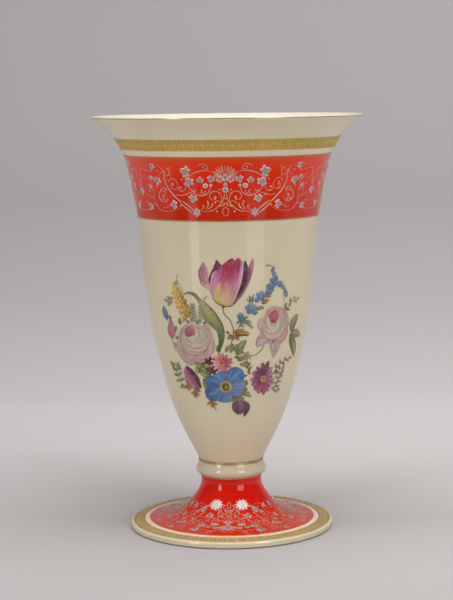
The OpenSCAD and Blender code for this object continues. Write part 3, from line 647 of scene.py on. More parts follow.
def smoothLoop(points, closed, count):
    # a smooth curve through all the points, in even steps from one to the next
    total = len(points)
    spans = total if closed else total - 1

    def pick(j):
        return points[j % total] if closed else points[max(0, min(total - 1, j))]

    out = []
    for k in range(count):
        u = k / (count if closed else count - 1) * spans
        i = min(int(u), spans - 1)
        f = u - i
        a, b, c, d = pick(i - 1), pick(i), pick(i + 1), pick(i + 2)
        out.append(tuple(0.5 * (2 * b[n] + (c[n] - a[n]) * f + (2 * a[n] - 5 * b[n] + 4 * c[n] - d[n]) * f * f
                                + (3 * b[n] - a[n] - 3 * c[n] + d[n]) * f ** 3) for n in range(2)))
    return out


def addStroke(verts, faces, points, halves, scaleAt):
    # a half-round line along a smooth curve; its width is real wherever the drawing is stretched or squeezed
    rows = 4 * len(points) + 1
    line = smoothLoop(points, False, rows)
    first, wide = len(verts), len(strokeSection)
    for i, (x, y) in enumerate(line):
        p, q = line[max(0, i - 1)], line[min(rows - 1, i + 1)]
        sx, sy = scaleAt(y)
        tx, ty = (q[0] - p[0]) * sx, (q[1] - p[1]) * sy
        n = math.hypot(tx, ty) or 1.0
        half = halves(i / (rows - 1))
        for across, high in strokeSection:
            verts.append((x - across * half * ty / n / sx, y + across * half * tx / n / sy, high * half))
    for i in range(rows - 1):
        a, b = first + i * wide, first + (i + 1) * wide
        for k in range(wide):
            m = (k + 1) % wide
            faces.append((a + k, a + m, b + m, b + k))
    faces.append(tuple(first + k for k in reversed(range(wide))))
    faces.append(tuple(first + (rows - 1) * wide + k for k in range(wide)))


def tapered(startHalf, endHalf, scale):
    # swells a little along the way and closes to a blunt point at both ends
    def half(share):
        swell = 0.75 + 0.5 * math.sin(math.pi * min(1, share * 1.15))
        ends = min(1.0, 0.35 + 8 * share, 0.35 + 8 * (1 - share))
        return (startHalf + (endHalf - startHalf) * share) * swell * ends * scale
    return half


def swollen(middle, least, start, length, power=1):
    # a petal: widest between its root and its tip, never thinner than a share of that
    def half(share):
        return middle * max(least, math.sin(math.pi * min(0.95, start + length * share ** power)))
    return half


def even(width):
    def half(share):
        return width
    return half


def addDome(verts, faces, x, y, half, scaleAt):
    # a low bead: one centre, two rings and a flat back
    sx, sy = scaleAt(y)
    first, corners = len(verts), beadShape["corners"]
    for reach, high in beadShape["rings"]:
        for k in range(corners):
            a = 2 * math.pi * k / corners
            verts.append((x + reach * half * math.cos(a) / sx, y + reach * half * math.sin(a) / sy,
                          high * half))
    verts.append((x, y, beadShape["top"] * half))
    for k in range(corners):
        m = (k + 1) % corners
        faces.append((first + k, first + m, first + corners + m, first + corners + k))
        faces.append((first + corners + k, first + corners + m, first + 2 * corners))
    faces.append(tuple(first + k for k in reversed(range(corners))))


def shapedDisc(name, outline, thick, filled=0.0):
    # a disc whose rim follows an outline; raised at the rim, marked from middle to rim for its fill
    corners = len(outline)
    disc = addFilledCircle(name, corners, 3)
    mesh = disc.data
    fill = mesh.attributes.new("fill", "FLOAT", "POINT")
    for v in mesh.vertices:
        reach = min(1.0, math.hypot(v.co.x, v.co.y))
        k = math.atan2(v.co.x, v.co.y) % (2 * math.pi) / (2 * math.pi) * corners
        i, f = int(k) % corners, k - int(k)
        j = (i + 1) % corners
        x = outline[i][0] + (outline[j][0] - outline[i][0]) * f
        y = outline[i][1] + (outline[j][1] - outline[i][1]) * f
        ridge = 0.35 + 0.65 * (1 - abs(2 * reach - 1.15) / 1.15)
        v.co = (x * reach, y * reach, thick * max(0.0, ridge) * (1 if reach < 0.999 else 0.0))
        fill.data[v.index].value = filled + (1 - filled) * reach
    return disc


def placeFlat(obj, x, y, size, heading, scaleAt):
    # turns a unit shape, gives it its real size, and puts it into the drawing
    turn = math.radians(heading - 90)
    c, s = math.cos(turn) * size, math.sin(turn) * size
    sx, sy = scaleAt(y)
    for v in obj.data.vertices:
        a, b = v.co.x, v.co.y
        v.co.x, v.co.y = x + (a * c - b * s) / sx, y + (a * s + b * c) / sy


def joinAll(objects, name):
    deselectAll()
    for o in objects:
        o.select_set(True)
    bpy.context.view_layer.objects.active = objects[0]
    bpy.ops.object.join()
    joined = bpy.context.object
    joined.name = joined.data.name = name
    return joined


def mirrorAndRepeat(half, name, repeats, axis, period, put):
    # the half drawing, its mirror image, and the repeats round the vase, wrapped on the surface
    copies = []
    for n in range(repeats):
        for side in (1, -1):
            copy = half.copy()
            copy.data = half.data.copy()
            bpy.context.scene.collection.objects.link(copy)
            for v in copy.data.vertices:
                v.co = put(axis + n * period + side * v.co.x, v.co.y, v.co.z)
            if side < 0:
                copy.data.flip_normals()
            copies.append(copy)
    bpy.data.objects.remove(half)
    return joinAll(copies, name)


def finishPiece(obj, material, replaced=(), angle=50):
    obj.data.materials.clear()
    obj.data.materials.append(material)
    makeActive(obj)
    bpy.ops.object.shade_smooth_by_angle(angle=math.radians(angle))
    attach(obj, "root")
    if replaced:
        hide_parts(*replaced)
    obj.select_set(False)


def meshObject(name, verts, faces):
    mesh = bpy.data.meshes.new(name)
    mesh.from_pydata(verts, [], faces)
    mesh.update()
    obj = bpy.data.objects.new(name, mesh)
    bpy.context.scene.collection.objects.link(obj)
    # outwards, whichever way a stroke was drawn
    makeActive(obj)
    bpy.ops.object.mode_set(mode="EDIT")
    bpy.ops.mesh.select_all(action="SELECT")
    bpy.ops.mesh.normals_make_consistent(inside=False)
    bpy.ops.object.mode_set(mode="OBJECT")
    return obj


def mirroredOutline(points, count):
    other = [(-x, y) for x, y in reversed(points[1:-1])]
    return smoothLoop(list(reversed(points)) + other, True, count)


def addFlower(verts, faces, flower, scaleAt):
    # strokes like the spokes of a wheel round a bead
    fx, fy = flower["at"]
    sx, sy = scaleAt(fy)
    halves = swollen(flower["half"], 0.25, 0.1, 0.85, 0.8)
    for i in range(flower["petals"]):
        a = math.radians(-90 + 360 * (i + 0.5) / flower["petals"])
        dx, dy = flower["reach"] * math.cos(a) / sx, flower["reach"] * math.sin(a) / sy
        addStroke(verts, faces, [(fx + dx * k, fy + dy * k) for k in (0.18, 0.6, 1.0)], halves, scaleAt)
    addDome(verts, faces, fx, fy, flower["reach"] * 0.24, scaleAt)


def scrollLines(s, scaleAt):
    verts, faces = [], []
    for points, startHalf, endHalf, ball in s["strokes"] + s["bars"]:
        addStroke(verts, faces, points, tapered(startHalf, endHalf, s["lineScale"]), scaleAt)
        if ball:
            addDome(verts, faces, *points[-1], s["ballHalf"] * (1.0 if ball == 1 else 1.5), scaleAt)
    for x, y, half in s["balls"]:
        addDome(verts, faces, x, y, half, scaleAt)
    # the loop is drawn as its right half only; the mirror image closes it
    loop = s["loop"]
    x, y = loop["centre"]
    arc = [math.radians(90 - 180 * i / 7) for i in range(8)]
    ring = [(x + loop["halfWide"] * math.cos(a), y + loop["halfTall"] * math.sin(a)) for a in arc]
    addStroke(verts, faces, ring, even(loop["lineHalf"] * s["lineScale"]), scaleAt)
    fan = s["fan"]
    x, y = fan["focus"]
    last = fan["petals"] // 2
    halves = swollen(fan["half"], 0.2, 0.06, 0.9, 1.5)
    for i in range(last + 1):
        a = math.radians(fan["spread"] * i / last)
        long = fan["outer"] * (1.0 - 0.22 * (i / last) ** 2) - fan["inner"]
        out = [fan["inner"] + long * k for k in (0.0, 0.35, 0.7, 1.0)]
        addStroke(verts, faces, [(x + r * math.sin(a), y + r * math.cos(a)) for r in out], halves, scaleAt)
    return meshObject("scroll_lines", verts, faces)


def scrollLeaves(s, scaleAt):
    shapes = []
    outline = mirroredOutline(leafOutline, s["leafCorners"])
    for i, (x, y, size, heading) in enumerate(s["leaves"]):
        leafDisc = shapedDisc("leaf_%02d" % i, outline, s["leafThick"])
        placeFlat(leafDisc, x, y, size / s["leafLong"] * s["leafScale"], heading, scaleAt)
        shapes.append(leafDisc)
    corners = s["cupCorners"]
    circle = [2 * math.pi * k / corners for k in range(corners)]
    for i, ((x, y), (wide, tall), heading) in enumerate(s["cups"]):
        outline = [(math.sin(a) * wide, math.cos(a) * tall) for a in circle]
        cup = shapedDisc("cup_%02d" % i, outline, s["cupThick"], s["cupFill"])
        placeFlat(cup, x, y, 1.0, heading, scaleAt)
        shapes.append(cup)
    if s["rosette"]:
        (x, y), out, (wide, tall) = (s["rosette"][k] for k in ("at", "out", "half"))
        outline = [(math.sin(a) * wide, math.cos(a) * tall) for a in circle]
        for k in range(s["rosette"]["petals"]):
            heading = 360 * (k + 0.5) / s["rosette"]["petals"]
            a = math.radians(heading)
            leaflet = shapedDisc("rosette_%d" % k, outline, s["cupThick"])
            placeFlat(leaflet, x + out * math.cos(a), y + out * math.sin(a), 1.0, heading, scaleAt)
            shapes.append(leaflet)
    return joinAll(shapes, "scroll_leaves")


def bandScale(y):
    # real millimetres on the surface for one drawn millimetre, across and up
    radius, slope = atHeight(redLine, scroll["base"] + y)
    return radius / scroll["reference"], math.hypot(1, slope)


def onBand(x, y, z):
    return onBowl(x, y, z if z > 0 else scroll["sunk"], redLine, scroll["base"], scroll["reference"])


def onBandLeaf(x, y, z):
    return onBand(x, y, z + (scroll["leafLift"] if z > 0 else 0))


bandPeriod = 2 * math.pi * scroll["reference"] / scroll["repeats"]
bandTurns = dict(repeats=scroll["repeats"], axis=scroll["axis"], period=bandPeriod)
bandLines = mirrorAndRepeat(scrollLines(scroll, bandScale), "band_scroll_lines", put=onBand, **bandTurns)
finishPiece(bandLines, silver, ["band_scrollwork"])
bandLeaves = mirrorAndRepeat(scrollLeaves(scroll, bandScale), "band_vine_leaves", put=onBandLeaf, **bandTurns)
finishPiece(bandLeaves, leafSilver, ["band_leaves"])
print("band ornament made:", len(bandLines.data.polygons), "and", len(bandLeaves.data.polygons), "faces")

# The same ornament upside down on the foot, opened out sideways near its axis, with flowers for its rosettes.
footScroll = dict(scroll, axis=-3.8, top=26.5, outermost=66.5, low=5.4, tall=41.6, opened=0.30,
                  lineScale=0.52, ballHalf=0.66, leafScale=0.82, rosette=None,
                  flower=dict(at=(21.8, 8.7), petals=11, reach=5.3, half=1.15),
                  bars=[([(32.5, 9.2), (44.0, 13.0), (56.0, 18.6)], 1.5, 1.1, 0)],
                  fan=dict(focus=(0.0, 33.0), petals=11, inner=4.2, outer=11.4, spread=54, half=0.42))
footFrom = walkTo(footSlope, 2, footScroll["top"])
footTall = walkTo(footSlope[60:], 1, footScroll["outermost"]) - footFrom


def footPlace(y):
    return footFrom + (y - footScroll["low"]) / footScroll["tall"] * footTall


def footScale(y):
    here = onFoot(0, footPlace(y), 0)
    radius = math.hypot(here.x, here.y) / mm
    return radius * 2 * math.pi / footScroll["repeats"] / bandPeriod, footTall / footScroll["tall"]


def onFootBand(x, y, z):
    n = round(x / bandPeriod)
    local = x - n * bandPeriod
    opened = local * (1 + footScroll["opened"] * (1 - abs(local) / (bandPeriod / 2)))
    turned = (opened + n * bandPeriod) / bandPeriod * 2 * math.pi / footScroll["repeats"]
    lift = z if z > 0 else footScroll["sunk"]
    return onFoot(math.radians(footScroll["axis"]) + turned, footPlace(y), lift)


def onFootLeaf(x, y, z):
    return onFootBand(x, y, z + (footScroll["leafLift"] if z > 0 else 0))


footTurns = dict(repeats=footScroll["repeats"], axis=0, period=bandPeriod)
footLines = mirrorAndRepeat(scrollLines(footScroll, footScale), "foot_scroll_lines", put=onFootBand,
                            **footTurns)
finishPiece(footLines, footSilver, ["foot_scrollwork"])
footLeaves = mirrorAndRepeat(scrollLeaves(footScroll, footScale), "foot_vine_leaves", put=onFootLeaf,
                             **footTurns)
finishPiece(footLeaves, footLeafSilver, ["foot_leaves"])
flowerVerts, flowerFaces = [], []
addFlower(flowerVerts, flowerFaces, footScroll["flower"], footScale)
flower = meshObject("foot_flower", flowerVerts, flowerFaces)
footFlowers = mirrorAndRepeat(flower, "foot_silver_flowers", put=onFootLeaf, **footTurns)
finishPiece(footFlowers, silverWithPaintedHighlight)
print("foot ornament made:", len(footLines.data.polygons), "faces")

# Etched gold: the two bands' raised pattern, a rosette between pairs of leaves, with a beaded edge line.
etching = dict(
    cell=8.0, tall=9.6, edge=0.42, lineHalf=0.30, petalHalf=0.46, leafHalf=0.62, bead=0.26, beads=8, high=0.6,
    # heights of the band under the lip, and radii of the one round the foot
    upper=(322.5, 331.5), footRadii=(75.6, 84.0),
    # the edge lines' half width as a share of edge, their steps round the vase, and what counts as flat
    edgeShare=0.8, edgeSteps=240, flat=0.001,
    rosette=dict(petals=8, inner=0.55, outer=2.0),
    leaves=[([(-4.0, -0.4), (-3.3, 0.9), (-3.6, 2.6)], 0.9),
            ([(-4.0, -0.4), (-3.2, -1.6), (-3.5, -3.2)], 0.9),
            ([(-1.6, 2.9), (-0.5, 2.3), (0.9, 2.9)], 0.7), ([(1.6, -2.9), (0.5, -2.3), (-0.9, -2.9)], 0.7),
            ([(2.2, 1.4), (3.0, 2.4), (2.7, 3.5)], 0.7), ([(2.2, -1.4), (3.0, -2.4), (2.7, -3.5)], 0.7)],
    vine=[(-4.0, 0.0), (-2.9, 0.0), (-2.3, 0.0)],
)


def plainScale(y):
    return 1.0, 1.0


def etchedCell(e, half):
    # one repeat of the pattern, drawn flat round its own centre; half is half the band's height
    verts, faces = [], []
    squeeze = half / (e["tall"] / 2)

    def draw(points, width):
        addStroke(verts, faces, points, swollen(width, 0.3, 0.08, 0.86), plainScale)

    for i in range(e["rosette"]["petals"]):
        a = 2 * math.pi * i / e["rosette"]["petals"]
        spoke = [(k * math.cos(a), k * math.sin(a)) for k in (e["rosette"]["inner"], e["rosette"]["outer"])]
        draw(spoke, e["petalHalf"])
    addDome(verts, faces, 0, 0, e["bead"] * 1.6, plainScale)
    for points, scale in e["leaves"]:
        draw([(x, y * squeeze) for x, y in points], e["leafHalf"] * scale)
    draw(e["vine"], e["lineHalf"])
    draw([(-x, y) for x, y in e["vine"]], e["lineHalf"])
    for i in range(e["beads"]):
        x = (i - (e["beads"] - 1) / 2) * e["cell"] / e["beads"]
        for side in (1, -1):
            addDome(verts, faces, x, side * (half - e["edge"] - 0.55), e["bead"], plainScale)
    return meshObject("etched_cell", verts, faces)


def etchedBand(name, low, high, reference, put):
    # the cell repeated round the vase, and two plain edge lines closed into rings
    count = int(round(2 * math.pi * reference / etching["cell"]))
    around, half, middle = 2 * math.pi * reference, (high - low) / 2, (high + low) / 2
    cell = etchedCell(etching, half)
    squeeze = around / count / etching["cell"]
    copies = []
    for n in range(count):
        copy = cell.copy()
        copy.data = cell.data.copy()
        bpy.context.scene.collection.objects.link(copy)
        for v in copy.data.vertices:
            x = (n + 0.5) * around / count + v.co.x * squeeze
            v.co = put(x, middle + v.co.y, v.co.z * etching["high"])
        copies.append(copy)
    bpy.data.objects.remove(cell)
    verts, faces = [], []
    edge, share = etching["edge"], etching["edgeShare"]
    for y in (low + edge, high - edge):
        first, wide, rows = len(verts), len(strokeSection), etching["edgeSteps"]
        for i in range(rows):
            for across, up in strokeSection:
                verts.append(put(around * i / rows, y + across * edge * share, up * edge * share))
        for i in range(rows):
            a, b = first + i * wide, first + (i + 1) % rows * wide
            for k in range(wide):
                faces.append((a + k, a + (k + 1) % wide, b + (k + 1) % wide, b + k))
    copies.append(meshObject("edge_lines", verts, faces))
    return joinAll(copies, name)


def onGoldBand(x, y, z):
    lift = z if z > etching["flat"] else scroll["sunk"]
    return onBowl(x, y, lift, goldLine, 0, etching["upperReference"])


def flangeHeight(radius):
    # top of the foot's gold at a radius, from a ray cast straight down
    above = 0.02
    start, down = Vector((radius * mm, hair, above)), Vector((0, 0, -1))
    hits = [nodes[n].ray_cast(start, down) for n in ("foot_gold_band", "foot")]
    return max(h[1].z / mm for h in hits if h[0])


def onFootGold(x, y, z):
    # x round the flange, y inwards from its gold's outer edge
    low, high, middle = *etching["footRadii"], etching["footReference"]
    radius = high - y
    k = (radius - low) / (high - low)
    inner, outer = etching["footHeights"]
    height = inner + (outer - inner) * k
    turn = x / middle
    lift = z if z > etching["flat"] else scroll["sunk"]
    return Vector((radius * math.sin(turn), -radius * math.cos(turn), height + lift)) * mm


etching["upperReference"] = atHeight(goldLine, sum(etching["upper"]) / 2)[0]
etching["footReference"] = sum(etching["footRadii"]) / 2
etching["footHeights"] = [flangeHeight(r) for r in etching["footRadii"]]
upperRelief = etchedBand("gold_band_relief", *etching["upper"], etching["upperReference"], onGoldBand)
finishPiece(upperRelief, reliefGold)
footWide = etching["footRadii"][1] - etching["footRadii"][0]
footRelief = etchedBand("foot_gold_relief", 0, footWide, etching["footReference"], onFootGold)
finishPiece(footRelief, footReliefGold)
print("etched gold made:", len(upperRelief.data.polygons), "faces")

# The painted bouquet.
# Everything here is drawn flat: x to the right of the front and y up from the bouquet's middle, in mm.
# Colours are as seen on the lit vase.
bouquet = dict(
    base=177.0, thickness=0.045, lowest=0.10, layer=0.0035, seed=11,
    # each kind's share of red, green and blue, to tone it as a whole
    toning=dict(foliage=(0.97, 0.95, 0.94), yellow=(1.0, 1.0, 0.98), blue=(0.92, 0.95, 0.85),
                purple=(0.95, 0.90, 0.92), roses=(0.93, 0.90, 0.90), tulip=(0.97, 1.0, 1.0)),
)
shaky = random.Random(bouquet["seed"])
drawn = {}


def along(colours, share):
    # the colour at a share of the way through a list of them
    k = min(0.9999, max(0.0, share)) * (len(colours) - 1)
    i = int(k)
    if i >= len(colours) - 1:
        return colours[-1]
    return tuple(a + (b - a) * (k - i) for a, b in zip(colours[i], colours[i + 1]))


def between(dark, light, share):
    # each dark colour moved towards its light one
    return [tuple(p + (q - p) * share for p, q in zip(*pair)) for pair in zip(dark, light)]


def petal(group, left, right, mid, leftTone=None, rightTone=None, crest=None,
          rows=12, columns=6, crown=0.07, hold=2.0, stroke=0.5, up=0.0):
    # one brushed petal between a left and a right edge, both drawn from its base to its tip
    # its tones run the same way, mid down the middle and the others along the edges; crest is its top line
    pieces = drawn.setdefault(group, [])
    grid = addGrid("%s_%03d" % (group, len(pieces)), columns, rows)
    mesh = grid.data
    leftLine, rightLine = smoothLoop(left, False, rows + 1), smoothLoop(right, False, rows + 1)
    crestLine = smoothLoop(crest, False, columns + 1) if crest else None
    leftTone, rightTone = leftTone or mid, rightTone or mid
    brush = mesh.uv_layers[0]
    brush.name = "brush"
    shift = (shaky.random() * 9, shaky.random() * 9)
    for corner in brush.data:
        corner.uv = (corner.uv[0] + shift[0], corner.uv[1] + shift[1])
    paint = mesh.color_attributes.new("paint", "FLOAT_COLOR", "POINT")
    base = bouquet["lowest"] + bouquet["layer"] * len(pieces) + up
    for v in mesh.vertices:
        s, t = (v.co.x + 1) / 2, (v.co.y + 1) / 2
        a, b = leftLine[int(round(t * rows))], rightLine[int(round(t * rows))]
        x, y = a[0] + (b[0] - a[0]) * s, a[1] + (b[1] - a[1]) * s
        if crestLine:
            c = crestLine[int(round(s * columns))]
            p, q = leftLine[-1], rightLine[-1]
            x += (c[0] - p[0] - (q[0] - p[0]) * s) * t ** 4
            y += (c[1] - p[1] - (q[1] - p[1]) * s) * t ** 4
        side = abs(2 * s - 1) ** hold
        edge = along(leftTone if s < 0.5 else rightTone, t)
        own = along(mid, t)
        seen = [(o + (e - o) * side) * share for o, e, share in zip(own, edge, bouquet["toning"][group])]
        paint.data[v.index].color = tone(*seen) + (stroke,)
        rise = crown * (1 - (2 * s - 1) ** 2) * min(1.0, 0.25 + 3 * t * (1 - t))
        v.co = onBowl(x, y, base + rise, bowlLine, bouquet["base"])
    pieces.append(grid)


# How wide a stroke is along its way, as a share of its half width.
def leafWidth(t):
    return max(0.02, math.sin(math.pi * t ** 0.85)) ** 0.85


def petalWidth(t):
    return max(0.03, math.sin(math.pi * (0.06 + 0.94 * t) ** 1.5)) ** 0.6


def roundWidth(t):
    return max(0.02, 2 * math.sqrt(max(0.0, t * (1 - t))))


def stemWidth(t):
    return 0.65 + 0.35 * (1 - t)


widths = dict(leaf=leafWidth, petal=petalWidth, round=roundWidth, stem=stemWidth)


def bladeEdges(points, half, shape, rows):
    line = smoothLoop(points, False, rows + 1)
    left, right = [], []
    for i, (x, y) in enumerate(line):
        p, q = line[max(0, i - 1)], line[min(rows, i + 1)]
        dx, dy = q[0] - p[0], q[1] - p[1]
        n = math.hypot(dx, dy) or 1
        w = half * widths[shape](i / rows)
        left.append((x - dy / n * w, y + dx / n * w))
        right.append((x + dy / n * w, y - dx / n * w))
    return left, right


def blade(group, points, half, mid, edge=None, shape="leaf", rows=7, columns=4, **more):
    # a petal, leaf or stem with a centre line and a half width
    left, right = bladeEdges(points, half, shape, rows)
    leftTone, rightTone = more.pop("leftTone", edge), more.pop("rightTone", edge)
    petal(group, left, right, mid, leftTone, rightTone, rows=rows, columns=columns, **more)


def stem(group, points, half, colour, rows=10):
    # a thin line, painted in one tone or a few
    blade(group, points, half, colour, None, "stem", rows=rows, columns=2, crown=0.05, stroke=0.2)


def lobe(group, x, y, rx, ry, turn, mid, edge=None, shape="round", **more):
    # an oval stroke: turn is the way it points, rx its half width, ry its half length
    a = math.radians(turn)
    dx, dy = ry * math.cos(a), ry * math.sin(a)
    blade(group, [(x - dx, y - dy), (x, y), (x + dx, y + dy)], rx, mid, edge, shape, **more)


def leaf(group, x, y, length, half, turn, dark, light):
    # a small leaf from its foot, with a light half and a dark half
    a = math.radians(turn)
    c, s = length * math.cos(a), length * math.sin(a)
    points = [(x, y), (x + 0.5 * c - 0.12 * s, y + 0.5 * s + 0.12 * c), (x + c, y + s)]
    blade(group, points, half, [dark, light, light], leftTone=[dark, light], rightTone=[dark, dark],
          hold=1.2, rows=6, columns=2)


def leaves(group, table):
    # foot x, y, length, half width, heading, dark, light
    for row in table:
        leaf(group, *row)


def twig(group, half, dark, light, table):
    # leaves of one width and colour: foot x, y, length, heading
    for x, y, length, turn in table:
        leaf(group, x, y, length, half, turn, dark, light)


def blades(group, table, *brush, **settings):
    # strokes laid with one brush: points, half width, tones and perhaps the tones of the edge
    for row in table:
        blade(group, *row, *brush, **settings)


def flowerHead(group, x, y, count, inner, rx, ry, tilt, half, light, dark, lightSide,
               edgeLight=None, edgeDark=None, start=0.0):
    # a ring of petals, a little uneven, from the light tones on one side to the dark ones on the other
    c, s = math.cos(math.radians(tilt)), math.sin(math.radians(tilt))
    for k in range(count):
        a = 2 * math.pi * (k + start) / count + (shaky.random() - 0.5) * 0.14
        reach = 1 + (shaky.random() - 0.5) * 0.12
        ox, oy = rx * math.cos(a) * reach, ry * math.sin(a) * reach
        tip = (x + ox * c - oy * s, y + ox * s + oy * c)
        n = math.hypot(tip[0] - x, tip[1] - y)
        root = (x + (tip[0] - x) * inner / n, y + (tip[1] - y) * inner / n)
        w = 0.5 + 0.5 * math.cos(math.atan2(tip[1] - y, tip[0] - x) - math.radians(lightSide))
        edge = between(edgeDark, edgeLight, w) if edgeLight else None
        middle = tuple((r + t) / 2 + (shaky.random() - 0.5) * 0.5 for r, t in zip(root, tip))
        blade(group, [root, middle, tip], half, between(dark, light, w), edge, "petal", crown=0.06)


def flowerEye(group, x, y, r, ring, heart, dots=9, dotTone=(110, 70, 30)):
    lobe(group, x, y, r, r, 90, [ring, ring], [ring], columns=6, rows=8, crown=0.16)
    lobe(group, x, y, r * 0.62, r * 0.62, 90, [heart, heart], [heart], columns=4, rows=6, crown=0.14, up=0.06)
    for k in range(dots):
        a = 2 * math.pi * k / dots
        lobe(group, x + r * 0.85 * math.cos(a), y + r * 0.85 * math.sin(a), r * 0.16, r * 0.16, 90,
             [dotTone], [dotTone], columns=2, rows=3, crown=0.08, up=0.08)


